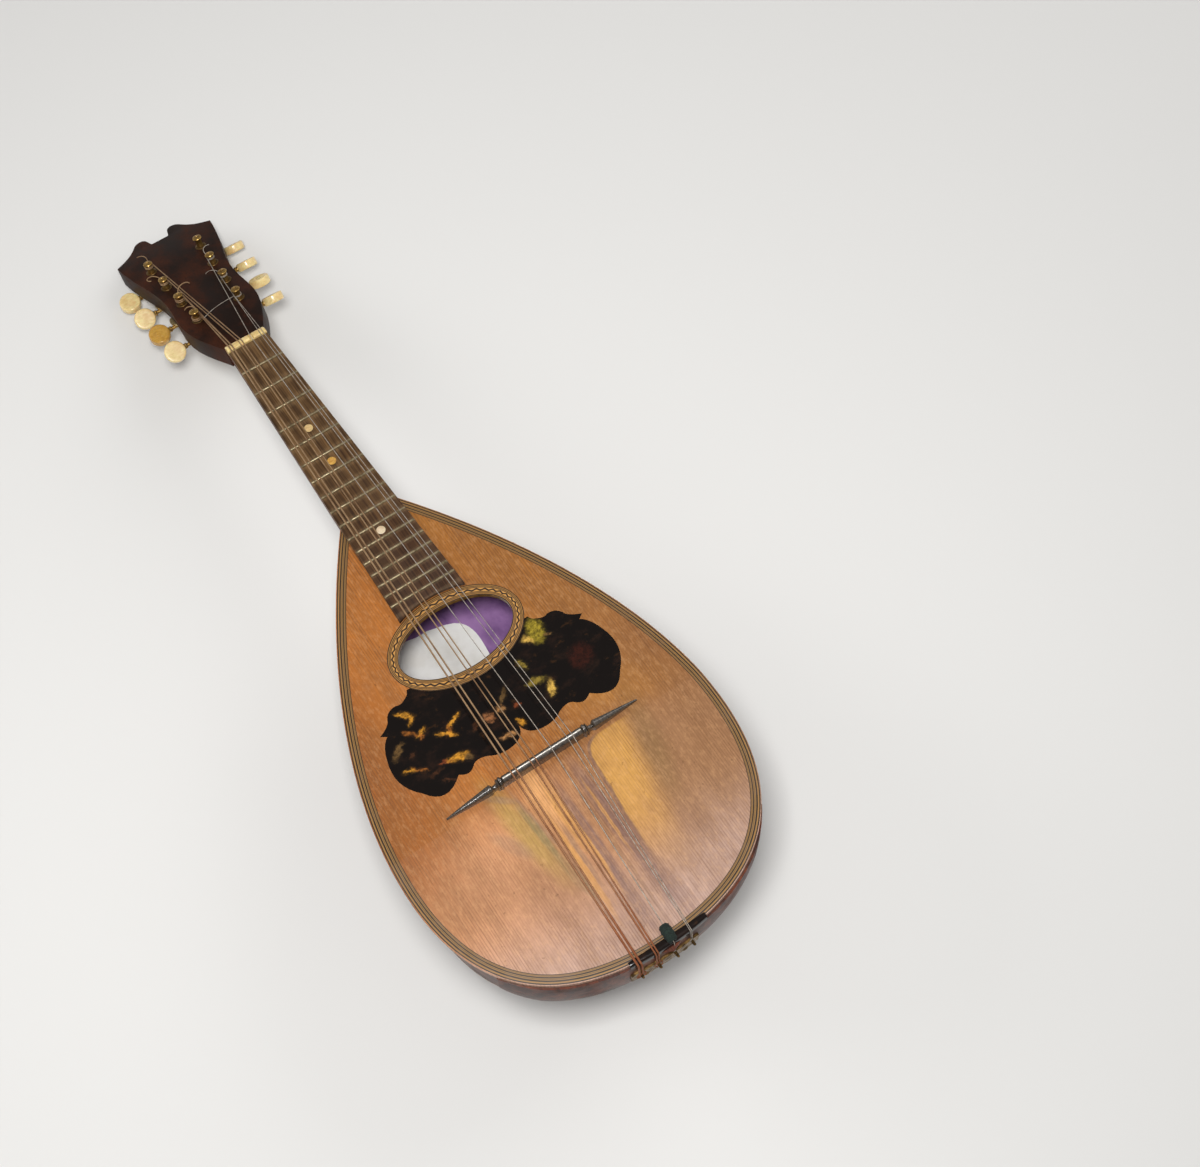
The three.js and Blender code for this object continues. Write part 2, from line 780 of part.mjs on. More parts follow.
function tunerPost() {
  const profile = [
    v2(0, post_height),
    v2(post_cap_radius - post_cap_height / 2, post_height),
    v2(post_cap_radius, post_height - post_cap_height / 2),
    v2(post_radius, post_height - post_cap_height),
    v2(post_radius, gear_top_z - gear_thickness / 2),
    v2(0, gear_top_z - gear_thickness / 2),
  ];
  const stem = new THREE.LatheGeometry(profile.reverse(), post_sides).rotateX(Math.PI / 2);
  const hole = rod(post_hole_radius, -post_cap_radius - cut_over, post_cap_radius + cut_over, bore_sides)
    .rotateY(Math.PI / 2)
    .translate(0, 0, post_height - post_hole_below_top);
  const root = gear_pitch_radius - gear_dedendum;
  const tip = gear_pitch_radius + gear_addendum;
  const tooth = (2 * Math.PI) / gear_teeth;
  const edge = [
    [root, -tooth_root_share / 2], [tip, -tooth_tip_share / 2],
    [tip, tooth_tip_share / 2], [root, tooth_root_share / 2],
  ];
  const outline = Array.from({ length: gear_teeth }, (unused, i) =>
    edge.map(([radius, turn_share]) => {
      const angle = Math.PI / 2 + (i + 0.5 + turn_share) * tooth;
      return v2(radius * Math.cos(angle), radius * Math.sin(angle));
    })).flat();
  const gear = prism(outline, gear_back_z, gear_top_z);
  const screw_end = gear_back_z - gear_screw_height;
  const screw = rod(gear_screw_radius, screw_end, worm_z, post_sides);
  const slot = box(
    -gear_slot_width / 2, gear_slot_width / 2, -gear_screw_radius - cut_over, gear_screw_radius + cut_over,
    screw_end - cut_over, screw_end + gear_slot_depth,
  );
  return join(cut(stem, hole), gear, cut(screw, slot));
}

// The worm's thread facing the gear stands in the gap between two teeth
function wormShaft() {
  const turns = Math.ceil((2 * worm_half_length * worm_steps_per_turn) / gear_circular_pitch);
  const step = (2 * Math.PI) / worm_steps_per_turn;
  const buried = worm_core_radius - worm_thread_half_width / 2;
  const profile = [
    [buried, -worm_thread_half_width], [worm_crest_radius, 0], [buried, worm_thread_half_width],
  ];
  const rings = Array.from({ length: turns + 1 }, (unused, i) => {
    const angle = (i - turns / 2) * step;
    const along = (gear_circular_pitch * angle) / (2 * Math.PI);
    return profile.map(([radius, shift]) =>
      v3(along + shift, -radius * Math.cos(angle), -radius * Math.sin(angle)));
  });
  const thread = loft(rings);
  const span = box(-worm_half_length, worm_half_length, -cut_over, cut_over, -cut_over, cut_over);
  const core = rod(worm_core_radius, -worm_half_length, worm_half_length, worm_steps_per_turn);
  const lug_end = lug_offset + lug_width;
  const shaft_end = button_reach - button_radius + button_bore_depth - joint_gap;
  const shaft = rod(shaft_radius, -lug_end - joint_gap, shaft_end, shaft_sides);
  return join(common(thread, span), core.rotateY(Math.PI / 2), shaft.rotateY(Math.PI / 2));
}

// A bone button: a thick disc with rounded edges and a bore for the shaft
function tunerButton() {
  const face = button_thickness / 2;
  const shoulder = button_radius - button_edge;
  const profile = [
    v2(0, -face), v2(shoulder, -face), v2(button_radius, button_edge - face),
    v2(button_radius, face - button_edge), v2(shoulder, face), v2(0, face),
  ];
  const disc = new THREE.LatheGeometry(profile, button_sides).rotateX(Math.PI / 2);
  const bore_end = -button_radius + button_bore_depth;
  const bore = rod(shaft_radius + joint_gap, -button_radius - cut_over, bore_end, shaft_sides);
  return cut(disc, bore.rotateY(Math.PI / 2));
}

// The plate's outer edge swells to a lobe at each worm
function tunerPlate() {
  const row_length = (posts_per_side - 1) * post_pitch;
  const first_y = -plate_end_margin;
  const last_y = row_length + worm_axis_distance + plate_end_margin;
  const outer = [];
  for (let k = 0; k < posts_per_side; k++) {
    const middle = k * post_pitch + worm_axis_distance;
    for (const turn of between(-Math.PI / 2, Math.PI / 2, plate_lobe_steps)) {
      const swell = plate_lobe * Math.cos(turn);
      outer.push(v2(plate_half_width + swell, middle + (lug_length * Math.sin(turn))));
    }
  }
  const tips = plate_half_width / 2;
  const outline = [
    v2(-plate_half_width, first_y + tips), v2(-tips, first_y), v2(tips, first_y),
    v2(plate_half_width, first_y + tips), ...outer,
    v2(plate_half_width, last_y - tips), v2(tips, last_y), v2(-tips, last_y),
    v2(-plate_half_width, last_y - tips),
  ];
  const parts = [];
  const bores = [];
  const lug_reach = lug_offset + lug_width + cut_over;
  const lug_root = -plate_back_z - plate_thickness / 2;
  const lug_arc = between(-Math.PI / 2, Math.PI / 2, lug_arc_steps).map((turn) =>
    v2(-worm_z + (lug_length / 2) * Math.cos(turn), (lug_length / 2) * Math.sin(turn)));
  const lug_outline = [v2(lug_root, -lug_length / 2), ...lug_arc, v2(lug_root, lug_length / 2)];
  for (let k = 0; k < posts_per_side; k++) {
    const y = k * post_pitch;
    const axis_y = y + worm_axis_distance;
    const hole = rod(post_radius + joint_gap, plate_back_z - cut_over, 0, post_sides);
    bores.push(hole.translate(0, y, 0));
    const bearing = rod(shaft_radius + joint_gap, -lug_reach, lug_reach, bore_sides);
    bores.push(bearing.rotateY(Math.PI / 2).translate(0, axis_y, worm_z));
    for (const end of [-1, 1]) {
      const x = end * (lug_offset + lug_width / 2);
      const lug = prism(lug_outline, x - lug_width / 2, x + lug_width / 2);
      parts.push(lug.rotateY(Math.PI / 2).translate(0, axis_y, 0));
    }
  }
  const plate = prism(outline, plate_back_z, plate_top_z);
  return cut(join(plate, ...parts), ...bores);
}

// Bridge, lofted from end to end: each row is how far along, how high and how thick
const bridge_profile_shares = [
  [0, 0.94, 0.9], [0.41, 0.94, 0.9], [0.43, 1, 1.2], [0.465, 1, 1.2], [0.48, 0.5, 0.5],
  [0.51, 0.5, 0.5], [0.53, 0.8, 0.95], [0.7, 0.55, 0.7], [0.985, 0.12, 0.16],
];

function bridge() {
  const ring = (x, height, thickness) => {
    const arc = between(0, Math.PI, bridge_section_points - 1).map((turn) => v3(
      x,
      (thickness / 2) * Math.cos(turn) - bridge_from_nut,
      rest_z + height - (thickness / 2) * (1 - Math.sin(turn)) * Math.min(1, height / thickness),
    ));
    const foot = [-0.4, 0.4].map((foot_share) =>
      v3(x, foot_share * thickness - bridge_from_nut, rest_z));
    return [...arc, ...foot];
  };
  const right = bridge_profile_shares.map(([along_share, height_share, thickness_share]) =>
    ring(along_share * bridge_half_length, height_share * bridge_height, thickness_share * bridge_thickness));
  const left = bridge_profile_shares.slice(1).reverse().map(([along_share, height_share, thickness_share]) =>
    ring(-along_share * bridge_half_length, height_share * bridge_height, thickness_share * bridge_thickness));
  return loft([...left, ...right]);
}

// Tail pieces: the hitch plate with a hook for each course, and the felt lump on the A course
const courses = ["G", "D", "A", "E"];
const courseX = (course, pitch, centre_x) => centre_x + (courses.indexOf(course) - 1.5) * pitch;
const tailX = (course) => courseX(course, course_pitch_tail, tail_centre_x);

// Where an offset bowl stands at the tail, at a given x and height
function tailY(shape, x, z) {
  let low = -tail_from_nut - shape.offset;
  let high = -widest_from_nut;
  for (let i = 0; i < 40; i++) {
    const y = (low + high) / 2;
    const across = Math.abs(x) / shape.halfWidth(y);
    const down = Math.max(0, (rimZ(y) - z) / (rimZ(y) - shape.keelZ(y)));
    if (across ** bowl_roundness + down ** bowl_roundness > 1) low = y;
    else high = y;
  }
  return (low + high) / 2;
}

const hitch_offset = 2 * joint_gap + clasp_thickness;
const hitch_top_z = rimZ(-tail_from_nut) - hitch_drop;
const hook_z = hitch_top_z - hook_radius;

function hitchPlate() {
  const zs = between(hitch_top_z, hitch_top_z - hitch_height, 3);
  const xs = between(-hitch_half_width, hitch_half_width, 6).map((x) => x + tail_centre_x);
  const grid = (offset) => {
    const shape = bowlShape(offset);
    return zs.map((z) => xs.map((x) => v3(x, tailY(shape, x, z), z)));
  };
  const plate = sheet(grid(hitch_offset + hitch_thickness), grid(hitch_offset));
  const hooks = courses.map((course) => {
    const x = tailX(course);
    const start = tailY(bowlShape(hitch_offset + hitch_thickness / 2), x, hook_z);
    const hook = rod(hook_radius, 0, hook_length, shaft_sides).rotateX(Math.PI / 2);
    return hook.translate(x, start, hook_z);
  });
  return join(plate, ...hooks);
}

// Height of the edge guard's top at the tail
const guardTopZ = (y) => top_z - foldDrop(y) + joint_gap + edge_guard_thickness;

function tailFelt() {
  const x = tailX("A");
  const half = felt_width / 2;
  const slot = felt_slot / 2;
  const roof = felt_height * 0.72;
  const profile = [
    v2(-half, 0), v2(-slot, 0), v2(-slot, felt_height / 2), v2(slot, felt_height / 2), v2(slot, 0),
    v2(half, 0), v2(half, roof), v2(half / 2, felt_height), v2(-half / 2, felt_height), v2(-half, roof),
  ];
  const start_y = -tail_from_nut - edge_guard_thickness;
  const lump = prism(profile, 0, felt_length).rotateX(Math.PI / 2).translate(0, start_y + felt_length, 0);
  lump.rotateX(fold_angle);
  lump.computeBoundingBox();
  const low = guardTopZ(start_y) + joint_gap;
  const placed_z = low - (start_y * Math.sin(fold_angle));
  return lump.translate(x, 0, placed_z);
}

// Strings, each from its hook over the tail, bridge and nut to the coil on its post
function string({ course, place, side, post }) {
  const radius = string_diameters[course] / 2;
  const spread = course === "A" ? 0 : place;
  const nut_x = courseX(course, course_pitch_nut, 0) + (spread * pair_spread_nut) / 2;
  const bridge_x = courseX(course, course_pitch_bridge, 0) + (spread * pair_spread_bridge) / 2;
  const tail_x = tailX(course) + spread * string_diameters[course];
  const clear = joint_gap + radius;
  const edge_y = -tail_from_nut;
  const outside_y = edge_y - joint_gap - clasp_thickness - clear;
  const tail_end_z = hook_z + hook_radius + joint_gap;
  const bridge_z = rest_z + bridge_height * bridge_profile_shares[0][1] + clear;
  const points = [
    v3(tail_x, outside_y, tail_end_z),
    v3(tail_x, outside_y, guardTopZ(edge_y) - edge_guard_thickness / 2),
    v3(tail_x, edge_y - joint_gap - edge_guard_thickness, guardTopZ(edge_y) + clear),
    v3(bridge_x, -bridge_from_nut - bridge_thickness / 4, bridge_z),
    v3(bridge_x, -bridge_from_nut + bridge_thickness / 4, bridge_z),
    v3(nut_x, joint_gap, nut_height + clear),
    v3(nut_x, nut_length / 2, nut_height + clear),
  ];
  const centre = postPlace(side, post);
  const coil_radius = post_radius + clear;
  const coil_pitch = 2 * radius + coil_clear;
  const top = coil_top_heights[post];
  const steps = coil_turns * coil_steps;
  for (let i = 0; i <= steps; i++) {
    const angle = (2 * Math.PI * i) / coil_steps;
    const local = v3(
      centre.x - side * coil_radius * Math.cos(angle),
      centre.y + coil_radius * Math.sin(angle),
      top - (coil_pitch * i) / coil_steps,
    );
    points.push(local.applyMatrix4(headMatrix));
  }
  const section = Array.from({ length: string_sides }, (unused, i) => {
    const turn = (2 * Math.PI * i) / string_sides;
    return v2(radius * Math.cos(turn), radius * Math.sin(turn));
  });
  return sweep(section, points);
}

const string_places = {
  string_G_outer: { course: "G", place: -1, side: -1, post: 0 },
  string_G_inner: { course: "G", place: 1, side: -1, post: 1 },
  string_D_outer: { course: "D", place: -1, side: -1, post: 2 },
  string_D_inner: { course: "D", place: 1, side: -1, post: 3 },
  string_A: { course: "A", place: 0, side: 1, post: 2 },
  string_E_inner: { course: "E", place: -1, side: 1, post: 1 },
  string_E_outer: { course: "E", place: 1, side: 1, post: 0 },
};

// The label lies in the bowl under the soundhole, to the bass side
function paperLabel() {
  const grid = (lift) => between(-0.97, 0.97, label_rows).map((row_share) => {
    const reach = label_half_width * (1 - Math.abs(row_share) ** 3) ** (1 / 3);
    const y = -label_centre_from_nut + label_half_height * row_share;
    return between(-1, 1, label_columns).map((column_share) => {
      const x = label_centre_x + reach * column_share;
      return v3(x, y, liningFloor(x, y) + lift);
    });
  });
  const clear = 2 * joint_gap;
  return sheet(grid(clear + label_thickness), grid(clear));
}

// Assembly
function piece(name, geometry, material) {
  const mesh = new THREE.Mesh(geometry, material);
  mesh.name = name;
  return mesh;
}

const body = new THREE.Group();
body.add(
  piece("soundboard", soundboard(), materials.spruce),
  piece("rosette", rosette(), materials.inlay),
  piece("pickguard", pickguard(), materials.shell),
  piece("edge_guard", edgeGuard(), materials.shell),
  piece("bridge", bridge(), materials.ebony),
  piece("fingerboard", fingerboard(), materials.fingerboard),
  piece("nut", nut(), materials.bone),
  piece("neck", neck(), materials.rosewood),
  piece("neck_block", neckBlock(), materials.blockwood),
  piece("tail_block", tailBlock(), materials.blockwood),
  piece("clasp", clasp(), materials.rosewood),
  piece("paper_lining", paperLining(), materials.paper),
  piece("label", paperLabel(), materials.label),
  piece("hitch_plate", hitchPlate(), materials.brass),
  piece("tail_felt", tailFelt(), materials.felt),
);
for (let i = 0; i < rib_count; i++) {
  body.add(piece(`bowl_rib_${i + 1}`, rib(i), materials.rosewood));
}
for (const [place, from_nut] of Object.entries(brace_places)) {
  body.add(piece(`brace_${place}`, brace(from_nut), materials.blockwood));
}
for (const [name, route] of Object.entries(string_places)) {
  const wound = route.course === "G" || route.course === "D";
  body.add(piece(name, string(route), wound ? materials.brass : materials.steel));
}

const head = new THREE.Group();
head.applyMatrix4(headMatrix);
head.add(piece("headstock", headstock(), materials.head));
const post_geometry = tunerPost();
const worm_geometry = wormShaft();
const button_geometry = tunerButton();
const plate_geometry = tunerPlate();
for (const [row_name, side] of [["bass", -1], ["treble", 1]]) {
  const mirror = new THREE.Group();
  mirror.scale.x = side;
  const row = new THREE.Group();
  row.position.set(first_post_x, first_post_from_nut, 0);
  row.rotation.z = -row_splay;
  row.add(piece(`tuner_plate_${row_name}`, plate_geometry, materials.brass));
  for (let k = 0; k < posts_per_side; k++) {
    const number = k + 1;
    const post = piece(`tuner_post_${row_name}_${number}`, post_geometry, materials.brass);
    post.position.set(0, k * post_pitch, 0);
    const worm = piece(`worm_shaft_${row_name}_${number}`, worm_geometry, materials.brass);
    worm.position.set(0, k * post_pitch + worm_axis_distance, worm_z);
    const button = piece(`tuner_button_${row_name}_${number}`, button_geometry, materials.bone);
    button.position.set(button_reach, k * post_pitch + worm_axis_distance, worm_z);
    button.rotation.x = THREE.MathUtils.degToRad(button_turns[row_name][k]);
    row.add(post, worm, button);
  }
  mirror.add(row);
  head.add(mirror);
}
body.add(head);

// Laid down: the tilt at which the keel and the tip of the head stand equally low
const tip_points = headOutline().map((p) => v3(p.x, p.y, -head_thickness).applyMatrix4(headMatrix));
const keel_points = bowl_stations.map((y) => bowlPoint(ribShell, y, seam_angles[Math.floor(rib_count / 2)]));
function lowest(points, tilt) {
  return Math.min(...points.map((p) => p.z * Math.cos(tilt) - p.y * Math.sin(tilt)));
}
let tilt_low = 0;
let tilt_high = Math.PI / 6;
for (let i = 0; i < 40; i++) {
  const tilt = (tilt_low + tilt_high) / 2;
  if (lowest(tip_points, tilt) > lowest(keel_points, tilt)) tilt_low = tilt;
  else tilt_high = tilt;
}
body.rotation.x = -tilt_low;

const mandolin = new THREE.Group();
mandolin.add(body);
mandolin.updateMatrixWorld(true);
const bounds = new THREE.Box3().setFromObject(mandolin, true);
const middle = bounds.getCenter(v3(0, 0, 0));
body.position.set(-middle.x, -middle.y, -bounds.min.z);

export default mandolin;
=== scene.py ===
"""Looks of the bowlback mandolin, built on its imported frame.

Sizes are millimetres in the instrument's own space: the nut's front edge at zero on top of the
fingerboard, x to the thin strings, y to the head and z out of the soundboard.
"""

import json
import math

import bmesh
import bpy
from mathutils import Euler, Matrix, Vector
from mathutils.geometry import delaunay_2d_cdt


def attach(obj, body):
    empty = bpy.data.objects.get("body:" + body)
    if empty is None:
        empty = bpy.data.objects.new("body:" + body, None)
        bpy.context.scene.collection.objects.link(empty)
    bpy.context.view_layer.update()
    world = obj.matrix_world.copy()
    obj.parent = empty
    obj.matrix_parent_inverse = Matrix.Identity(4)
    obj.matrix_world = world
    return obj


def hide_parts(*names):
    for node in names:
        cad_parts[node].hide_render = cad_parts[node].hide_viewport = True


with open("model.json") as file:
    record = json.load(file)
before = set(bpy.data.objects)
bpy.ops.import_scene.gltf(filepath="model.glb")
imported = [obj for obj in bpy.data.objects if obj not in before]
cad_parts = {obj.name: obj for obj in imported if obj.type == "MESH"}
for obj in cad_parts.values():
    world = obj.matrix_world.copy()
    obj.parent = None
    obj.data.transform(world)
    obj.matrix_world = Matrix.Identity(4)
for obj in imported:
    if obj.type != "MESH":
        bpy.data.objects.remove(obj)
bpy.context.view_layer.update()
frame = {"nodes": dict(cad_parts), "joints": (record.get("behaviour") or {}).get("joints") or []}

# Sizes shared with the part
mm = 0.001
joint_gap = 0.3
scale_length = 335
fret_count = 17
body_fret = 10
board_thickness = 3
nut_half_width = 13.6
board_end_half_width = 21.2
board_overrun = 22
nut_length = 5.5
nut_height = 1.6
nut_back_drop = 1.4
neck_depth_nut = 17
neck_depth_mid = 19
heel_depth = 28
top_thickness = 3
fold_from_nut = 341
fold_angle = math.radians(5)
hole_from_nut = 245
hole_half_length = 35.5
hole_half_height = 21
rosette_width = 6.2
rosette_height = 7.6
join_half_width = 19
body_half_width = 100.5
widest_from_nut = 358
tail_from_nut = 455.5
bowl_depth = 140
deepest_from_nut = 345
bowl_roundness = 2.15
rib_count = 9
head_pitch = math.radians(18.5)
head_thickness = 13
head_length = 160.5
head_half_width = 35
posts_per_side = 4
first_post_x = 14.9
first_post_from_nut = 44.3
post_pitch = 25.3
row_splay = math.radians(2.6)
post_radius = 2.3
post_height = 7.6
coil_top_heights = [3.2, 5.0, 5.4, 5.8]
coil_turns = 2
plate_thickness = 1.2
gear_stand = 0.9
gear_thickness = 4
gear_teeth = 14
gear_pitch_radius = 5.5
worm_axis_distance = 8
button_reach = 20.6
button_radius = 6.9
button_thickness = 5.4
button_turns = {"bass": [50, 28, 52, 26], "treble": [-31, -19, -31, -29]}
bridge_from_nut = 335.5
course_pitch_nut = 6.9
course_pitch_bridge = 11.9
bridge_half_length = 62
bridge_height = 8
bridge_thickness = 5
guard_half_width = 71
guard_top_from_nut = 257.5
guard_height = 64
string_diameters = {"G": 1.0, "D": 0.76, "A": 0.46, "E": 0.4}

# Heights that follow
top_z = -board_thickness
rest_z = top_z + joint_gap
rim_start_z = top_z - top_thickness - joint_gap
ring_half_length = hole_half_length + rosette_width
ring_half_height = hole_half_height + rosette_height


def fret_y(number):
    return scale_length * 2 ** (-number / 12) - scale_length


body_start_y = fret_y(body_fret)

# The instrument's space in the frame, found from the first treble gear's joint
gear_joint = next(j for j in frame["joints"] if j["name"] == "gear_turn_treble_1")
rest_tilt = math.asin(gear_joint["axis"][1]) - head_pitch
HEAD = Matrix.Translation((0, nut_length, top_z)) @ Matrix.Rotation(-head_pitch, 4, "X")
TURN = Matrix.Rotation(-rest_tilt, 4, "X")
joint_here = TURN @ HEAD @ Vector((first_post_x, first_post_from_nut, 0))
SHIFT = Vector(gear_joint["pos_m"]) / mm - joint_here
LAID = Matrix.Scale(mm, 4) @ Matrix.Translation(SHIFT) @ TURN


# Meshes
def between(first, last, steps):
    return [first + (last - first) * i / steps for i in range(steps + 1)]


def circle(half_x, half_y, steps, centre=(0, 0)):
    """Points round an ellipse."""
    return [(centre[0] + half_x * math.cos(t), centre[1] + half_y * math.sin(t))
            for t in between(0, 2 * math.pi, steps)[:-1]]


def mirrored(points):
    return [Vector((-p.x, p.y)) for p in reversed(points)]


def halved(low, high, holds):
    """Where a test that holds at low stops holding, found by halving."""
    for _ in range(30):
        middle = (low + high) / 2
        if holds(middle):
            low = middle
        else:
            high = middle
    return (low + high) / 2


def in_polygon(p, loop):
    inside = False
    for a, b in zip(loop, loop[1:] + loop[:1]):
        if (a[1] > p[1]) != (b[1] > p[1]) and p[0] < (b[0] - a[0]) * (p[1] - a[1]) / (b[1] - a[1]) + a[0]:
            inside = not inside
    return inside


def smoothed(mesh, sharp):
    """Smooth faces, with edges beyond an angle left sharp."""
    for face in mesh.polygons:
        face.use_smooth = True
    mesh.set_sharp_from_angle(angle=math.radians(sharp))


def bevelled(piece, width, segments, angle):
    """Rounds the edges beyond an angle."""
    bevel = piece.modifiers.new("edge", "BEVEL")
    bevel.width = width * mm
    bevel.segments = segments
    bevel.limit_method = "ANGLE"
    bevel.angle_limit = math.radians(angle)
    graph = bpy.context.evaluated_depsgraph_get()
    mesh = bpy.data.meshes.new_from_object(piece.evaluated_get(graph))
    piece.modifiers.clear()
    piece.data = mesh
    smoothed(mesh, angle)


def make(name, points, faces, material, *nodes, space=None, body="instrument", uvs=None, sharp=35,
         bevel=None):
    """A piece that stands for the named nodes, which it hides.

    Its points are in the instrument's space, or in a space of its own inside it. A bevel is its
    width, its segments and the angle from which an edge gets it.
    """
    placed = LAID @ space if space else LAID
    mesh = bpy.data.meshes.new(name)
    mesh.from_pydata([placed @ Vector(p) for p in points], [], faces)
    if uvs:
        layer = mesh.uv_layers.new(name="along")
        for loop in mesh.loops:
            layer.data[loop.index].uv = uvs[loop.vertex_index]
    edit = bmesh.new()
    edit.from_mesh(mesh)
    bmesh.ops.recalc_face_normals(edit, faces=edit.faces)
    edit.to_mesh(mesh)
    edit.free()
    mesh.materials.append(material)
    smoothed(mesh, sharp)
    piece = bpy.data.objects.new(name, mesh)
    bpy.context.scene.collection.objects.link(piece)
    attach(piece, body)
    if bevel:
        bevelled(piece, *bevel)
    if nodes:
        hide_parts(*nodes)


def lofted(rings):
    """Points and faces through closed rings of equally many points, closed at both ends."""
    count, last = len(rings[0]), len(rings) - 1
    points = [p for ring in rings for p in ring]
    faces = []
    for i in range(last):
        for j in range(count):
            a, b = i * count + j, i * count + (j + 1) % count
            faces.append((a, b, b + count, a + count))
    faces.append(tuple(range(count)))
    faces.append(tuple(range(last * count, (last + 1) * count)))
    return points, faces


def ribbon(sections):
    """A strip through closed sections, each given as its points and their uvs."""
    points, faces = lofted([ring for ring, _ in sections])
    return points, faces, [uv for _, ring_uvs in sections for uv in ring_uvs]


def sheeted(outer, inner):
    """Points and faces of a sheet between two grids, closed along its borders."""
    rows, columns = len(outer), len(outer[0])
    points = [p for grid in (outer, inner) for row in grid for p in row]

    def at(side, i, j):
        return side * rows * columns + i * columns + j

    faces = [(at(side, i, j), at(side, i, j + 1), at(side, i + 1, j + 1), at(side, i + 1, j))
             for side in (0, 1) for i in range(rows - 1) for j in range(columns - 1)]
    faces += [(at(0, i, j), at(0, i + 1, j), at(1, i + 1, j), at(1, i, j))
              for i in range(rows - 1) for j in (0, columns - 1)]
    faces += [(at(0, i, j), at(0, i, j + 1), at(1, i, j + 1), at(1, i, j))
              for j in range(columns - 1) for i in (0, rows - 1)]
    return points, faces


def turned(profile, segments):
    """Points and faces of a shape turned about z from rows of radius and height."""
    return lofted([[(*p, h) for p in circle(r, r, segments)] for r, h in profile])


def swept(points, radius, sides):
    """Points, faces and uvs of a tube: u round it, v along it in millimetres."""
    path = [Vector(p) for p in points]
    radii = radius if isinstance(radius, list) else [radius] * len(path)
    side = None
    sections, along = [], 0
    for i, point in enumerate(path):
        ahead = (path[min(i + 1, len(path) - 1)] - path[max(i - 1, 0)]).normalized()
        side = side or ahead.orthogonal().normalized()
        side = (side - ahead * side.dot(ahead)).normalized()
        over = ahead.cross(side)
        if i:
            along += (point - path[i - 1]).length
        ring = [point + radii[i] * (side * c + over * s) for c, s in circle(1, 1, sides)]
        sections.append((ring, [(k / sides, along) for k in range(sides)]))
    return ribbon(sections)


def merged(parts):
    points, faces = [], []
    for some_points, some_faces in parts:
        start = len(points)
        points += some_points
        faces += [tuple(start + i for i in face) for face in some_faces]
    return points, faces


def shifted(solid, x, y, z=0):
    points, faces = solid
    return [(p[0] + x, p[1] + y, p[2] + z) for p in points], faces


def flat_plate(name, outline, holes, low, high, material, *nodes, height=lambda y: 0, lines=(), **settings):
    """A plate inside a closed outline and outside its holes, with extra lines cut into it."""
    corners, edges = [], []
    for loop in (outline, *holes):
        start = len(corners)
        corners += [Vector(p) for p in loop]
        edges += [(start + i, start + (i + 1) % len(loop)) for i in range(len(loop))]
    for line in lines:
        edges.append((len(corners), len(corners) + 1))
        corners += [Vector(p) for p in line]
    flat, _, triangles, *_ = delaunay_2d_cdt(corners, edges, [], 0, 1e-5)

    def belongs(triangle):
        middle = sum((flat[i] for i in triangle), Vector((0, 0))) / 3
        return in_polygon(middle, outline) and not any(in_polygon(middle, hole) for hole in holes)

    kept = [t for t in triangles if belongs(t)]
    used = sorted({i for t in kept for i in t})
    index = {old: new for new, old in enumerate(used)}
    kept = [tuple(index[i] for i in t) for t in kept]
    points = [(flat[i].x, flat[i].y, level + height(flat[i].y)) for level in (high, low) for i in used]
    count = len(used)
    faces = kept + [tuple(count + i for i in reversed(t)) for t in kept]
    sides = [(t[i], t[(i + 1) % 3]) for t in kept for i in range(3)]
    seen = set(sides)
    faces += [(a, b, count + b, count + a) for a, b in sides if (b, a) not in seen]
    make(name, points, faces, material, *nodes, **settings)


# Curves of the body, as the part has them
front_pull_shares = [(0.558, 0.308), (1, 0.678)]
tail_pull_shares = [(1, 0.615), (0.697, 1)]
heel_pull_shares = [(0.36, 0.3), (1, 0.68)]
keel_pull_shares = [(1, 0.52), (0.6, 1)]


def bezier(a, b, c, d, t):
    s = 1 - t
    return a * s ** 3 + 3 * b * s * s * t + 3 * c * s * t * t + d * t ** 3


def half_curves(start, wide, end, front, tail):
    def along(share):
        return Vector((start.x + (wide.x - start.x) * share[0], start.y + (wide.y - start.y) * share[1]))

    def back(share):
        return Vector((wide.x + (end.x - wide.x) * (1 - share[0]), wide.y + (end.y - wide.y) * share[1]))

    return [(start, along(front[0]), along(front[1]), wide), (wide, back(tail[0]), back(tail[1]), end)]


def x_at(curves, y):
    curve = curves[0] if y > curves[0][3].y else curves[1]
    return bezier(*curve, halved(0, 1, lambda t: bezier(*curve, t).y > y)).x


def outline_curves(offset):
    return half_curves(Vector((join_half_width + offset, body_start_y)),
                       Vector((body_half_width + offset, -widest_from_nut)),
                       Vector((0, -tail_from_nut - offset)), front_pull_shares, tail_pull_shares)


def fold_drop(y):
    return max(0, -fold_from_nut - y) * math.tan(fold_angle)


def rim_z(y):
    return rim_start_z - fold_drop(y)


def keel_curves(offset):
    return half_curves(Vector((-heel_depth - offset, body_start_y)),
                       Vector((-bowl_depth - offset, -deepest_from_nut)),
                       Vector((rim_z(-tail_from_nut), -tail_from_nut - offset)),
                       heel_pull_shares, keel_pull_shares)


def board_outline(steps):
    right = [bezier(*curve, t) for curve in outline_curves(0) for t in between(0, 1, steps)]
    right = [p for i, p in enumerate(right) if i == 0 or (p - right[i - 1]).length > 1e-6]
    return right + mirrored(right[:-1])


def powered(value):
    return math.copysign(abs(value) ** (2 / bowl_roundness), value)


def bowl_shape(offset):
    outline, keel = outline_curves(offset), keel_curves(offset)
    return (lambda y: x_at(outline, y)), (lambda y: x_at(keel, y))


def bowl_point(shape, y, angle):
    half, keel = shape
    rim = rim_z(y)
    return Vector((half(y) * powered(math.sin(angle)), y, rim - (rim - keel(y)) * powered(math.cos(angle))))


def rosette_outline(gap):
    return circle(ring_half_length + gap, ring_half_height + gap, 96, (0, -hole_from_nut))


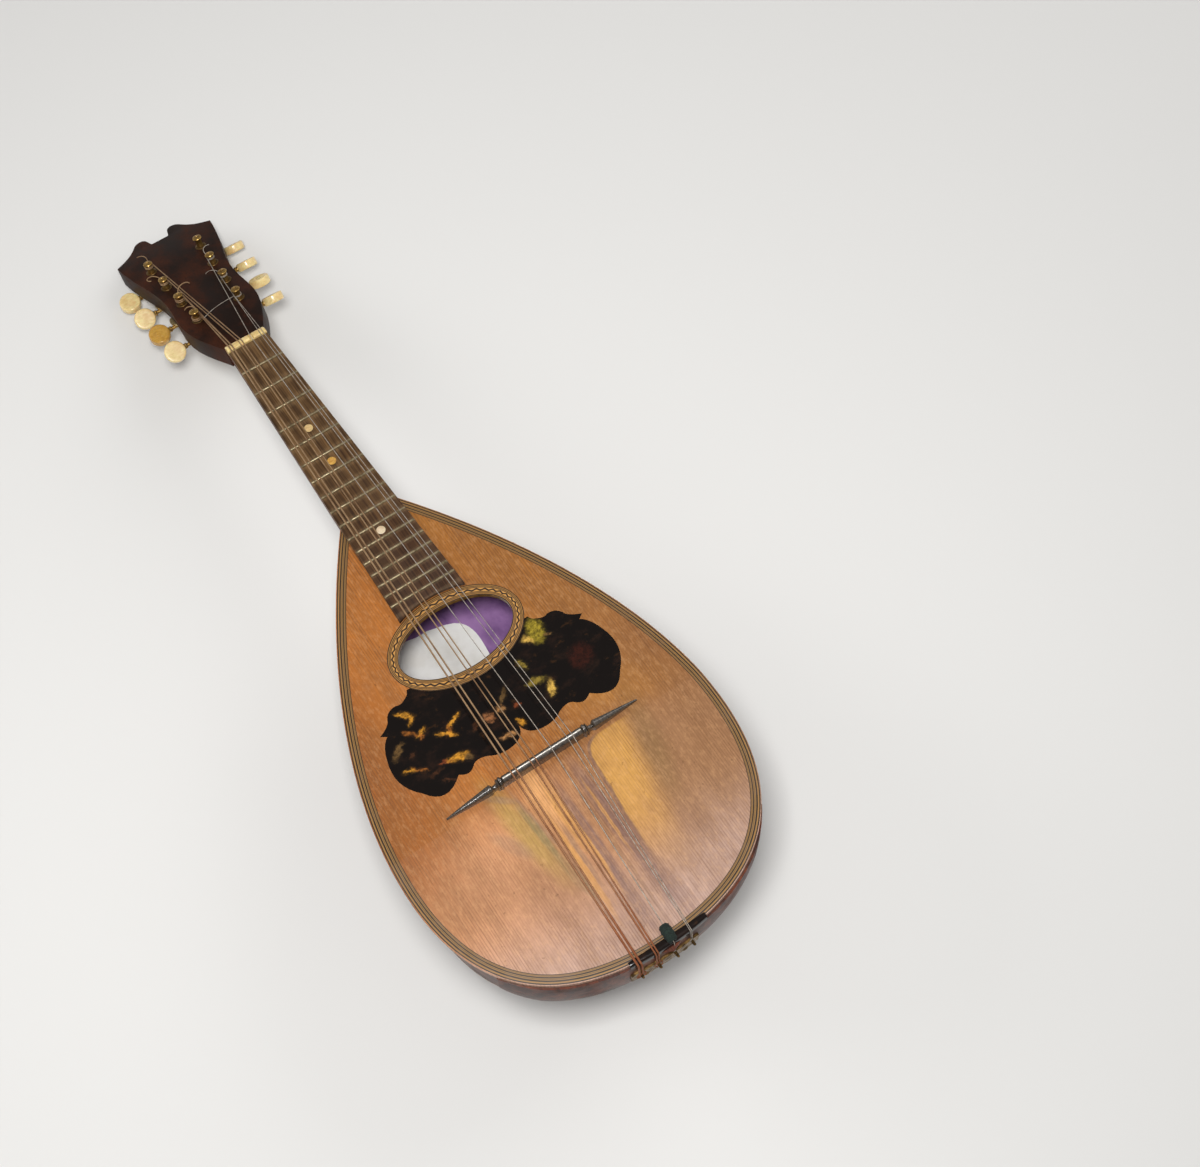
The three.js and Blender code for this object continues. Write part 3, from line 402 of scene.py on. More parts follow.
# Camera, fitted to the nut, frets, bridge, soundhole and head of the photograph
camera_place = (-149.0, -709.7, 926.1)
camera_turn = tuple(math.radians(a) for a in (28.297, 3.199, -33.570))
focal_pixels = 1867.5
photo_width = 1200
sensor_width = 36


def add_camera():
    data = bpy.data.cameras.new("camera")
    data.sensor_fit = "HORIZONTAL"
    data.sensor_width = sensor_width
    data.lens = focal_pixels / photo_width * sensor_width
    data.clip_start = 0.01
    camera = bpy.data.objects.new("camera", data)
    bpy.context.scene.collection.objects.link(camera)
    turn = TURN @ Euler(camera_turn, "XYZ").to_matrix().to_4x4()
    camera.matrix_world = Matrix.Translation(LAID @ Vector(camera_place)) @ turn
    bpy.context.scene.camera = camera


# Lamps and floor, in metres in the frame's space
key_beside_camera = (-0.06, 0.085, 0.02)
floor_reach = 6


def add_lamp(name, place, size, watts, aim=(0, 0, 0.05)):
    data = bpy.data.lights.new(name, "AREA")
    data.shape = "SQUARE"
    data.size = size
    data.energy = watts
    lamp = bpy.data.objects.new(name, data)
    bpy.context.scene.collection.objects.link(lamp)
    lamp.location = place
    lamp.rotation_euler = (Vector(aim) - Vector(place)).to_track_quat("-Z", "Y").to_euler()


def add_stage():
    seen_from = bpy.context.scene.camera.matrix_world
    add_lamp("key", seen_from @ Vector(key_beside_camera), 0.2, 10.4, aim=(0, 0, 0.1))
    add_lamp("fill", (1.3, 0.3, 1.2), 1.2, 8)
    add_lamp("back", (-1.3, 1.0, 1.1), 1.0, 8)
    world = bpy.data.worlds.new("studio")
    world.use_nodes = True
    background = world.node_tree.nodes["Background"]
    background.inputs["Color"].default_value = (1, 1, 1, 1)
    background.inputs["Strength"].default_value = 0.3
    bpy.context.scene.world = world
    bpy.context.scene.view_settings.view_transform = "Standard"
    floor_mesh = bpy.data.meshes.new("floor")
    corners = [(x * floor_reach, y * floor_reach, 0) for x, y in ((-1, -1), (1, -1), (1, 1), (-1, 1))]
    floor_mesh.from_pydata(corners, [], [(0, 1, 2, 3)])
    material, shader = surface("floor", roughness=0.9)
    shader.inputs["Base Color"].default_value = (0.72, 0.71, 0.69, 1)
    floor_mesh.materials.append(material)
    floor = bpy.data.objects.new("floor", floor_mesh)
    bpy.context.scene.collection.objects.link(floor)


def tone(red, green, blue):
    """A colour from screen values of 0 to 255."""
    def linear(value):
        share = value / 255
        return share / 12.92 if share <= 0.04045 else ((share + 0.055) / 1.055) ** 2.4
    return (linear(red), linear(green), linear(blue), 1)


def surface(name, roughness=0.5, metallic=0.0, coat=0.0, coat_roughness=0.1, specular=0.5):
    material = bpy.data.materials.new(name)
    material.use_nodes = True
    shader = material.node_tree.nodes["Principled BSDF"]
    for socket, value in (("Roughness", roughness), ("Metallic", metallic), ("Coat Weight", coat),
                          ("Coat Roughness", coat_roughness), ("Specular IOR Level", specular)):
        shader.inputs[socket].default_value = value
    return material, shader


def put(tree, socket, value):
    if isinstance(value, Value):
        tree.links.new(value.socket, socket)
    elif isinstance(value, bpy.types.NodeSocket):
        tree.links.new(value, socket)
    else:
        socket.default_value = value


class Value:
    """A number worked out in a material's nodes."""

    def __init__(self, tree, socket):
        self.tree = tree
        self.socket = socket

    def math(self, operation, *others):
        made = self.tree.nodes.new("ShaderNodeMath")
        made.operation = operation
        for socket, value in zip(made.inputs, (self, *others)):
            put(self.tree, socket, value)
        return Value(self.tree, made.outputs[0])

    def __add__(self, other):
        return self.math("ADD", other)

    def __sub__(self, other):
        return self.math("SUBTRACT", other)

    def __rsub__(self, other):
        return (self * -1).math("ADD", other)

    def __mul__(self, other):
        return self.math("MULTIPLY", other)

    def __truediv__(self, other):
        return self.math("DIVIDE", other)

    def most(self, other):
        return self.math("MAXIMUM", other)

    def step(self, low, high):
        """Rises smoothly from 0 at low to 1 at high."""
        made = self.tree.nodes.new("ShaderNodeMapRange")
        made.interpolation_type = "SMOOTHSTEP"
        for name, value in (("Value", self), ("From Min", low), ("From Max", high)):
            put(self.tree, made.inputs[name], value)
        return Value(self.tree, made.outputs["Result"])


class Space:
    """The instrument's space in a material, in millimetres."""

    def __init__(self, tree):
        self.tree = tree
        coordinates = tree.nodes.new("ShaderNodeTexCoord")
        mapping = tree.nodes.new("ShaderNodeMapping")
        back = TURN.inverted()
        mapping.inputs["Scale"].default_value = (1 / mm, 1 / mm, 1 / mm)
        mapping.inputs["Rotation"].default_value = back.to_euler("XYZ")
        mapping.inputs["Location"].default_value = -(back @ SHIFT)
        tree.links.new(coordinates.outputs["Object"], mapping.inputs["Vector"])
        self.vector = mapping.outputs["Vector"]
        parts = tree.nodes.new("ShaderNodeSeparateXYZ")
        tree.links.new(self.vector, parts.inputs[0])
        self.x, self.y, self.z = (Value(tree, socket) for socket in parts.outputs)

    def noise(self, scales, detail=3, roughness=0.55, offset=(0, 0, 0)):
        """Noise whose cells are as long as 1 over the scales, in millimetres."""
        stretch = self.tree.nodes.new("ShaderNodeVectorMath")
        stretch.operation = "MULTIPLY_ADD"
        put(self.tree, stretch.inputs[0], self.vector)
        stretch.inputs[1].default_value = scales
        stretch.inputs[2].default_value = offset
        made = self.tree.nodes.new("ShaderNodeTexNoise")
        put(self.tree, made.inputs["Vector"], stretch.outputs[0])
        for name, value in (("Scale", 1), ("Detail", detail), ("Roughness", roughness)):
            made.inputs[name].default_value = value
        return Value(self.tree, made.outputs[0])

    def rag(self, scale, reach):
        """Shifts x and y by noise, so that blobs get ragged rims."""
        self.x = self.x + (self.noise((scale, scale, scale), 4, 0.65, (11, 2, 5)) - 0.5) * reach
        self.y = self.y + (self.noise((scale, scale, scale), 4, 0.65, (3, 17, 9)) - 0.5) * reach

    def blob(self, x, y, half_x, half_y, edge, turn=0):
        """1 inside an ellipse that fades out over a share of its size."""
        c, s = math.cos(math.radians(turn)), math.sin(math.radians(turn))
        across, along = self.x - x, self.y - y
        first = (across * c + along * s) / half_x
        second = (along * c - across * s) / half_y
        return (first * first + second * second).math("SQRT").step(1 + edge, 1 - edge)


def mix(tree, share, first, second):
    """Two colours mixed: each is three screen values or comes from a node."""
    made = tree.nodes.new("ShaderNodeMix")
    made.data_type = "RGBA"
    share_input, first_input, second_input = 0, 6, 7
    put(tree, made.inputs[share_input], share)
    for place, colour in ((first_input, first), (second_input, second)):
        put(tree, made.inputs[place], tone(*colour) if isinstance(colour, tuple) else colour)
    return made.outputs[2]


class Finish:
    """A material in the making: its nodes, the instrument's space in them and its colour so far."""

    def __init__(self, name, slot, colour=None, **settings):
        self.material, self.shader = surface(name, **settings)
        self.tree = self.material.node_tree
        self.space = Space(self.tree)
        self.colour = colour

    def over(self, share, colour):
        """Lays a colour over the one so far."""
        self.colour = mix(self.tree, share, self.colour, colour)

    def along_uvs(self):
        """Round or across the piece, and along it."""
        found = self.tree.nodes.new("ShaderNodeUVMap")
        found.uv_map = "along"
        parts = self.tree.nodes.new("ShaderNodeSeparateXYZ")
        self.tree.links.new(found.outputs[0], parts.inputs[0])
        return Value(self.tree, parts.outputs[0]), Value(self.tree, parts.outputs[1])

    def done(self, roughness, height=None, strength=0.0, depth=0.0):
        """Links the colour, the roughness and the bump, whose depth is in millimetres."""
        put(self.tree, self.shader.inputs["Base Color"], self.colour)
        put(self.tree, self.shader.inputs["Roughness"], roughness)
        if height:
            bump = self.tree.nodes.new("ShaderNodeBump")
            bump.inputs["Strength"].default_value = strength
            bump.inputs["Distance"].default_value = depth * mm
            put(self.tree, bump.inputs["Height"], height)
            self.tree.links.new(bump.outputs[0], self.shader.inputs["Normal"])
        return self.material


def mottled(name, slot, dark, light, scales, roughness=0.5, rough_spread=0.15, bump=0.0, **settings):
    """A plain material whose tone and gloss vary over the piece."""
    finish = Finish(name, slot, dark, **settings)
    grain = finish.space.noise(scales, 4)
    finish.over(grain.step(0.3, 0.7), light)
    cloud = finish.space.noise((0.07, 0.05, 0.07), 2, offset=(7, 3, 1))
    uneven = cloud.step(0.35, 0.65) * rough_spread + (roughness - rough_spread / 2)
    return finish.done(uneven, grain if bump else None, 0.6, bump)


# Worn and dirty marks on the soundboard, and painted shadows of the strings: place, half width and half
# length, strength, tone and turn
OCHRE, VIOLET, STRING_SHADOW, GREENISH = (210, 152, 80), (120, 93, 88), (112, 84, 64), (112, 112, 78)
GREY_WOOD = (140, 116, 96)
marks_and_string_shadows = [
    (-2, -384, 3.2, 32, 0.85, VIOLET, 0), (-2, -424, 3.2, 24, 0.6, VIOLET, 0),
    (12, -376, 4, 30, 0.85, VIOLET, 0), (15, -406, 4.5, 36, 0.75, VIOLET, 0),
    # The three thin dark streaks along the A, D and G strings are painted shadows of the strings.
    (-8, -371, 2.4, 20, 0.9, OCHRE, 0), (20, -437, 4, 20, 0.4, VIOLET, 0), (6, -402, 1.2, 46, 0.5, STRING_SHADOW, 0),
    (11, -380, 0.9, 22, 0.9, OCHRE, 0), (-5, -386, 1.4, 30, 0.9, OCHRE, 0),
    (-12, -390, 1.5, 18, 0.6, GREY_WOOD, 0), (-15, -399, 1.6, 30, 0.85, OCHRE, 0),
    (-18, -408, 0.9, 30, 0.55, STRING_SHADOW, 0), (-8, -402, 0.7, 42, 0.5, STRING_SHADOW, 0),
    (-24, -367, 2.2, 18, 0.75, GREENISH, 5), (-22, -362, 1.1, 20, 0.6, GREY_WOOD, 8),
    (-32, -342, 2, 9, 0.6, GREY_WOOD, 50),
    (-40, -367, 4, 12, 0.45, GREY_WOOD, 30), (-21, -398, 3, 16, 0.35, GREENISH, 8)]
year_width = 1.5

# Worn patch beside the strings: its top and its left side at a height, and the radius of its corner
patch_top_y = -350
patch_left_x = 29
patch_left_y = -407
patch_lean = 0.06
patch_corner = 10.4


def spruce_material():
    wood = Finish("aged_spruce", "spruce", coat=0.05, coat_roughness=0.3, specular=0.3)
    space = wood.space
    x, y = space.x, space.y

    def cloud(at_x, at_y, half_x, half_y, edge, turn, strength, colour):
        wood.over(space.blob(at_x, at_y, half_x, half_y, edge, turn) * strength, colour)

    wander = space.noise((0.012, 0.006, 0.01), 3, 0.6)
    wood.colour = mix(wood.tree, (x + wander * 70 - 35).step(-40, 45), (180, 109, 44), (143, 98, 42))
    wood.over((y + wander * 60 - 30).step(-120, -200) * 0.5, (166, 100, 42))
    # Painted sheen: below the fold the top is lighter and pinker, standing in for the light the canted part
    # catches.
    low = (y + wander * 34 - 17 - x * 0.12).step(-322, -366)
    wood.over(low, mix(wood.tree, (x + wander * 60 - 30).step(-70, 70), (202, 142, 96), (152, 111, 77)))
    # Painted sheen: the top turns paler and pinker towards the tail.
    wood.over(y.step(-385, -446) * 0.85, (188, 159, 146))
    cloud(-92, -285, 30, 95, 0.7, 0, 0.75, (134, 77, 33))
    cloud(86, -312, 30, 80, 0.7, 0, 0.5, (140, 96, 56))
    cloud(60, -322, 26, 12, 0.6, -20, 0.5, (178, 120, 48))
    cloud(84, -322, 20, 26, 0.8, 0, 0.5, (136, 90, 52))
    cloud(-42, -400, 24, 42, 0.8, 35, 0.45, (160, 116, 88))
    cloud(-12, -352, 7, 20, 0.6, 0, 0.8, (230, 170, 108))
    wood.over(space.noise((0.06, 0.03, 0.05), 4, 0.6, (6, 2, 4)).step(0.35, 0.7) * 0.32, (122, 82, 44))
    cloud(53, -362, 7, 26, 0.8, -10, 0.6, (128, 98, 56))
    cloud(-30, -364, 6, 30, 0.7, 7, 0.75, (168, 138, 70))

    # The worn patch, darker along its rim, and the marks, among them the painted shadows of the strings
    space.rag(0.08, 2.4)
    past_x = ((space.y - patch_left_y) * patch_lean + patch_left_x - space.x).most(0)
    past_y = (space.y - patch_top_y).most(0)
    away = (past_x * past_x + past_y * past_y).math("SQRT")
    worn = away.step(11, 9.5) * (space.x - space.y * 0.15).step(107, 93) * space.y.step(-436, -366)
    ragged = space.noise((0.12, 0.05, 0.1), 4, 0.65, (2, 6, 1)).step(0.25, 0.6) * 0.25 + 0.65
    wood.over(worn * ragged, (200, 148, 72))
    rim = (away - patch_corner).math("ABSOLUTE").step(1.4, 0.5)
    wood.over(rim * space.y.step(-430, -380) * space.x.step(34, 27) * 0.75, (112, 84, 74))
    for at_x, at_y, half_x, half_y, share, colour, turn in marks_and_string_shadows:
        streak = space.noise((0.7, 0.02, 0.1), 4, 0.65, (at_x, 0, 0)).step(0.3, 0.7)
        mark = space.blob(at_x, at_y, half_x, half_y, 0.45, turn)
        wood.over(mark * share * (streak * 0.5 + 0.5), colour)

    # Year lines, then mottling, grime and specks
    bend = space.noise((0.012, 0.003, 0.02), 1) * 5
    years = (x + bend + space.noise((0.2, 0.003, 0.1), 1) * 1.4) * (2 * math.pi / year_width)
    thin = space.noise((1.2, 0.008, 0.2), 3).step(0.36, 0.68)
    patch = space.noise((0.04, 0.015, 0.05), 3, 0.6, (5, 5, 5)).step(0.3, 0.65) * 0.72 + 0.28
    # The year lines are fainter under the painted sheen below the fold.
    line = (years.math("SINE").step(-0.1, 1) * 0.6 + thin * 0.45) * patch * (1 - low * 0.22)
    wood.over(line * 0.7, (94, 56, 30))
    wood.over(space.noise((0.45, 0.2, 0.4), 3, 0.7, (8, 2, 9)).step(0.35, 0.65) * 0.16, (104, 66, 36))
    wood.over(space.noise((0.5, 0.22, 0.4), 3, 0.7, (1, 7, 3)).step(0.45, 0.7) * 0.14, (232, 180, 126))
    grime = space.noise((0.03, 0.024, 0.03), 5, 0.68, (3, 9, 2)).step(0.5, 0.78)
    wood.over(grime * 0.42, (112, 70, 36))
    wood.over(space.noise((0.35, 0.3, 0.3), 2, 0.6, (1, 5, 8)).step(0.67, 0.76) * 0.4, (84, 50, 26))
    return wood.done(grime * 0.16 + line * 0.1 + 0.36, line, 0.3, 0.05)


def tortoise_material(name, base, flecks=()):
    """Shell-like lacquer: dark with dim clouds, and flecks that are ragged strokes."""
    shell = Finish(name, "shell", base, coat=0.06, specular=0.2)
    space = shell.space
    cloud = space.noise((0.09, 0.13, 0.1), 3, 0.6)
    shell.over(cloud.step(0.5, 0.78), (34, 20, 13))
    shell.over(space.noise((0.13, 0.18, 0.12), 4, 0.62, (4, 4, 4)).step(0.6, 0.74) * 0.25, (86, 54, 26))
    space.rag(0.3, 6)
    warm = space.noise((0.5, 0.55, 0.5), 3, 0.65, (9, 1, 4)).step(0.32, 0.68)

    def stroke(x1, y1, x2, y2, width, spread):
        half = math.dist((x1, y1), (x2, y2)) / 2
        turn = math.degrees(math.atan2(y2 - y1, x2 - x1))
        return space.blob((x1 + x2) / 2, (y1 + y2) / 2, half + spread, width / 2 + spread, 0.4, turn)

    for *place, colour in flecks:
        shell.over(stroke(*place, 1.3) * 0.22, tuple(level * 0.55 for level in colour))
    for *place, colour in flecks:
        shell.over(stroke(*place, 0.4) * (warm * 0.7 + 0.22), colour)
    return shell.done(cloud * 0.2 + 0.1, cloud, 0.25, 0.15)


def fingerboard_material():
    """Dark wood, browner near the nut, darker between the courses and the frets, and dusty beside the frets.
    """
    wood = Finish("worn_fingerboard", "fingerboard", specular=0.2)
    space = wood.space
    streak = space.noise((0.8, 0.025, 0.4), 5, 0.6).step(0.3, 0.7)
    worn = space.noise((0.06, 0.03, 0.06), 3, 0.6).step(0.35, 0.65)
    upper = mix(wood.tree, streak, (56, 37, 21), (118, 88, 55))
    wood.colour = mix(wood.tree, streak, (42, 26, 16), (88, 60, 39))
    wood.over((space.y + worn * 40).step(-190, -60), upper)
    course_gap = space.y * ((course_pitch_nut - course_pitch_bridge) / bridge_from_nut) + course_pitch_nut
    across = (space.x / course_gap * (2 * math.pi)).math("COSINE").step(-0.9, 0.6)
    fret = (space.y / scale_length + 1).most(0.1).math("LOGARITHM", 2) * -12
    between_frets = (fret * (2 * math.pi)).math("COSINE").step(0.9, -0.4)
    # Darker in a plaid between the courses and between the frets.
    plaid = across * between_frets * (worn * 0.4 + 0.6) * fret.step(-0.3, 1.6)
    wood.over(plaid * 0.5, (44, 28, 17))
    wood.over((1 - between_frets) * 0.14, (134, 116, 90))
    return wood.done(worn * 0.2 + 0.32, streak, 0.4, 0.08)


def banded(name, ground, bands):
    """Thin lines along a ribbon, each with its first and last share of the width and its tone."""
    inlay = Finish(name, "inlay", ground, coat=0.3, coat_roughness=0.15)
    across, along = inlay.along_uvs()
    place = across + (inlay.space.noise((0.3, 0.3, 0.3), 2) - 0.5) * 0.03
    for first, last, colour in bands:
        inlay.over(place.step(first - 0.02, first + 0.02) * place.step(last + 0.02, last - 0.02), colour)
    age = inlay.space.noise((0.12, 0.12, 0.12), 4, 0.65).step(0.4, 0.75)
    inlay.over(age * 0.3, (96, 64, 34))
    return inlay, across, along, age * 0.15 + 0.3


def purfling_material():
    inlay, _, _, roughness = banded("edge_purfling", (146, 108, 58), [
        (0.0, 0.12, (30, 20, 13)), (0.27, 0.42, (28, 19, 13)), (0.5, 0.56, (84, 64, 34)),
        (0.62, 0.75, (32, 22, 14)), (0.81, 0.86, (90, 66, 36)), (0.91, 1.0, (44, 30, 18))])
    return inlay.done(roughness)


def rope_material():
    """The rosette: a dark wavy strand between ochre lenses, with fine dark lines on both sides."""
    rope, across, along, roughness = banded("rope_rosette", (164, 118, 58), [
        (0.0, 0.09, (30, 20, 13)), (0.15, 0.21, (50, 35, 20)), (0.26, 0.33, (58, 40, 22)),
        (0.67, 0.74, (58, 40, 22)), (0.79, 0.86, (50, 35, 20)), (0.92, 1.0, (34, 23, 14))])
    wave = (along * (2 * math.pi)).math("SINE") * 0.07
    away = across - 0.5
    hollow = (wave * away).step(0.002, 0.009)
    near_strand = away.math("ABSOLUTE").step(0.17, 0.13)
    rope.over(near_strand * (hollow * 0.7 + 0.3), (232, 172, 92))
    rope.over((away - wave).math("ABSOLUTE").step(0.1, 0.06), (40, 24, 12))
    return rope.done(roughness)


def rosewood_material():
    wood = Finish("rosewood", "rosewood", specular=0.2)
    space = wood.space
    figure = space.noise((0.2, 0.01, 0.16), 5, 0.62).step(0.3, 0.72)
    pores = space.noise((1.1, 0.05, 1.1), 4, 0.7).step(0.52, 0.66)
    wood.colour = (44, 20, 14)
    wood.over(figure, (112, 56, 32))
    wood.over(pores * 0.6, (30, 14, 10))
    wear = space.noise((0.03, 0.02, 0.03), 4, 0.65).step(0.45, 0.75)
    return wood.done(wear * 0.2 + 0.42, pores, 0.25, 0.05)


def head_material():
    wood = Finish("head_veneer", "head_veneer", specular=0.1)
    space = wood.space
    figure = space.noise((0.05, 0.03, 0.05), 5, 0.62).step(0.35, 0.75)
    pores = space.noise((1.0, 0.08, 1.0), 4, 0.7).step(0.5, 0.68)
    wood.colour = (26, 13, 7)
    wood.over(figure, (68, 33, 17))
    wood.over(pores * 0.5, (18, 10, 7))
    return wood.done(figure * 0.15 + 0.46, pores, 0.2, 0.05)


def wound_material():
    """Wound strings: fine turns of bronze along the string, redder towards the tail."""
    turns_per_mm = 3.1
    wire = Finish("bronze_winding", "wound_wire", metallic=0.6)
    space = wire.space
    round_it, along = wire.along_uvs()
    turns = ((along * turns_per_mm + round_it) * (2 * math.pi)).math("SINE").step(-0.9, 0.7)
    rust = space.noise((0.12, 0.05, 0.12), 4, 0.7).step(0.4, 0.7)
    wire.colour = (170, 140, 104)
    wire.over(rust, (130, 100, 72))
    wire.over(space.y.step(-318, -345) * 0.5 + space.y.step(-405, -440) * 0.3, (146, 76, 40))
    wire.colour = mix(wire.tree, turns * 0.45 + 0.55, (96, 60, 40), wire.colour)
    return wire.done(rust * 0.2 + 0.55, turns, 0.1, 0.03)


def bone_material(name, deep, pale, stain, stain_share, slot="bone"):
    bone = Finish(name, slot, deep, coat=0.3, coat_roughness=0.12)
    fibre = bone.space.noise((0.35, 0.9, 0.25), 4, 0.6).step(0.3, 0.7)
    cloud = bone.space.noise((0.11, 0.09, 0.13), 3, 0.6, (2, 8, 5)).step(0.42, 0.72)
    bone.over(fibre, pale)
    bone.over(cloud * stain_share, stain)
    bone.shader.inputs["Subsurface Weight"].default_value = 0.08
    bone.shader.inputs["Subsurface Scale"].default_value = 1.5 * mm
    return bone.done(cloud * 0.2 + 0.25)


def metal_material(name, bright, dull, roughness=0.3, metallic=1, slot="brass"):
    metal = Finish(name, slot, bright, metallic=metallic)
    tarnish = metal.space.noise((0.35, 0.3, 0.35), 5, 0.7).step(0.38, 0.68)
    metal.over(tarnish, dull)
    scratch = metal.space.noise((0.4, 3.0, 0.8), 3, 0.6)
    return metal.done(tarnish * 0.3 + roughness, scratch, 0.12, 0.04)


SPRUCE = spruce_material()
ROSEWOOD = rosewood_material()
FINGERBOARD = fingerboard_material()
HEAD_VENEER = head_material()
BONE = bone_material("old_bone", (220, 192, 130), (238, 216, 156), (206, 156, 90), 0.5)
AMBER_BONE = bone_material("amber_bone", (176, 128, 44), (200, 156, 70), (126, 88, 30), 0.5, "amber_bone")
NUT_BONE = bone_material("nut_bone", (214, 184, 116), (240, 216, 154), (172, 128, 66), 0.45)
PEARL = bone_material("pearl", (206, 184, 150), (226, 210, 184), (176, 146, 100), 0.5)
BEIGE_DOT = bone_material("beige_dot", (190, 160, 108), (214, 182, 126), (150, 116, 68), 0.5)
AMBER_DOT = bone_material("amber_dot", (176, 124, 50), (214, 168, 84), (120, 76, 30), 0.4)
BRASS = metal_material("old_brass", (188, 152, 88), (112, 82, 44))
# Darker brass for the head's bushings and the hitch plate. It is tarnish, and on the hitch plate its darkness
# is also painted shade, for the shadow the tail lies in.
SHADED_TARNISHED_BRASS = metal_material("shaded_tarnished_brass", (122, 96, 58), (64, 50, 34), 0.4)
PALE_BRASS = metal_material("plate_brass", (206, 186, 140), (160, 132, 86), 0.26)
FRET_METAL = metal_material("fret_wire", (160, 146, 116), (112, 98, 74), 0.42)
STEEL = metal_material("steel_wire", (176, 166, 154), (134, 124, 112), 0.6, 0.5, "steel_wire")
SADDLE_METAL = metal_material("saddle_metal", (236, 232, 224), (196, 190, 178), 0.45, 1, "steel_wire")
BRONZE = wound_material()
EBONY = mottled("ebony", "ebony", (34, 30, 26), (76, 66, 56), (0.9, 0.06, 0.9), 0.25, 0.1, coat=0.8)
BLOCKWOOD = mottled("blockwood", None, (150, 112, 72), (196, 158, 110), (0.5, 0.04, 0.5), 0.6, bump=0.1)
PAPER = mottled("violet_paper", "paper", (116, 78, 132), (160, 118, 172), (0.06, 0.05, 0.06), 0.75, bump=0.05)
LABEL = mottled("label_paper", "label", (228, 224, 216), (244, 242, 238), (0.05, 0.06, 0.05), 0.7)
FELT = mottled("green_felt", "felt", (10, 19, 16), (27, 42, 34), (1.2, 1.2, 1.2), 0.95, 0.05, bump=0.5)
SEAM = mottled("seam_line", "inlay", (150, 112, 64), (186, 150, 96), (0.3, 0.05, 0.3), 0.4)
PURFLING = purfling_material()
ROPE = rope_material()

AMBER, CARAMEL, UMBER, RUSSET = (206, 142, 46), (150, 90, 36), (104, 78, 44), (120, 60, 32)
UMBER_DIM, REDDISH_DIM, NUTMEG = (64, 38, 22), (52, 22, 14), (150, 98, 60)
TAN, STRAW, MOSS, OLIVE = (170, 122, 74), (214, 172, 80), (158, 138, 44), (144, 122, 50)

# Flecks of the scratchplate as strokes: where each starts and ends, its width and its tone
guard_flecks = [
    (-52, -267, -45, -273, 2, AMBER), (-49, -276, -45, -273, 1, AMBER), (-54, -279, -48, -285, 1, CARAMEL),
    (-49, -285, -44, -283, 1, AMBER), (-48, -288, -47, -284, 1, CARAMEL), (-32, -290, -24, -286, 1, AMBER),
    (-35, -294, -31, -289, 1, CARAMEL), (-40, -290, -34, -293, 1, AMBER), (-35, -292, -31, -296, 1, AMBER),
    (-67, -290, -59, -284, 3, UMBER), (-47, -306, -40, -308, 1, RUSSET), (-42, -307, -32, -309, 3, AMBER),
    (-33, -309, -31, -313, 2, UMBER), (-66, -299, -60, -301, 1, AMBER), (-61, -300, -55, -305, 1, CARAMEL),
    (-1, -294, 5, -288, 2, UMBER), (-5, -296, -1, -298, 3, TAN), (-13, -296, -9, -300, 4, NUTMEG),
    (-12, -312, -4, -314, 2, TAN), (1, -308, 3, -312, 2, AMBER), (5, -299, 7, -301, 2, RUSSET),
    (37, -274, 40, -261, 8, MOSS), (30, -268, 34, -272, 3, STRAW), (41, -272, 45, -274, 1, UMBER),
    (20, -278, 22, -284, 2, OLIVE), (17, -293, 27, -295, 3, OLIVE), (25, -306, 29, -298, 3, STRAW),
    (-59, -294, -55, -292, 1, UMBER_DIM), (-55, -310, -49, -308, 2, UMBER_DIM),
    (-50, -315, -45, -318, 1, UMBER_DIM), (-22, -300, -18, -296, 2, UMBER_DIM),
    (46, -300, 56, -290, 12, REDDISH_DIM)]
GUARD = tortoise_material("guard_tortoise", (14, 9, 7), guard_flecks)
SHELL = tortoise_material("rim_shell", (22, 15, 12))


# Scratchplate outline, right half: control point and end of each curve, across and down
guard_start_share = 0.84
guard_curve_shares = [
    (0.02, 0.97, 0.17, 0.975), (0.27, 0.975, 0.32, 0.93), (0.42, 0.88, 0.46, 0.93), (0.52, 1.0, 0.595, 0.93),
    (0.78, 1.12, 0.9, 0.9), (1.06, 0.72, 0.985, 0.47), (0.95, 0.33, 0.885, 0.285), (0.9, 0.27, 0.93, 0.25),
    (0.86, 0.22, 0.82, 0.17), (0.79, 0.07, 0.7, 0.075), (0.66, 0.1, 0.6, 0.055), (0.57, 0.04, 0.56, 0.0)]
inlay_depth = 1
inlay_stand = 0.08


def guard_outline():
    def place(x_share, y_share):
        return Vector((guard_half_width * x_share, -guard_top_from_nut - guard_height * y_share))

    here = place(0, guard_start_share)
    right = [here]
    for row in guard_curve_shares:
        control, end = place(*row[:2]), place(*row[2:])
        right += [here * (1 - t) ** 2 + control * 2 * t * (1 - t) + end * t * t for t in between(0, 1, 8)[1:]]
        here = end
    return mirrored(right[1:]) + right


guard_loop = guard_outline()


def build_soundboard():
    low = top_z - top_thickness
    fold = [(side * body_half_width, -fold_from_nut) for side in (-1, 1)]
    flat_plate("top_board", board_outline(28), [rosette_outline(0.08), guard_loop], low, top_z, SPRUCE,
               "soundboard", height=lambda y: -fold_drop(y), lines=[fold], sharp=2)
    flat_plate("guard_seat", guard_loop, [rosette_outline(0)], low, top_z - inlay_depth, SPRUCE)


def band_section(near, far, high, low, along):
    """One section of a flat band from a near to a far side, with its uvs."""
    return ([(*near, high[0]), (*far, high[1]), (*far, low[1]), (*near, low[0])],
            [(0, along), (1, along), (1, along), (0, along)])


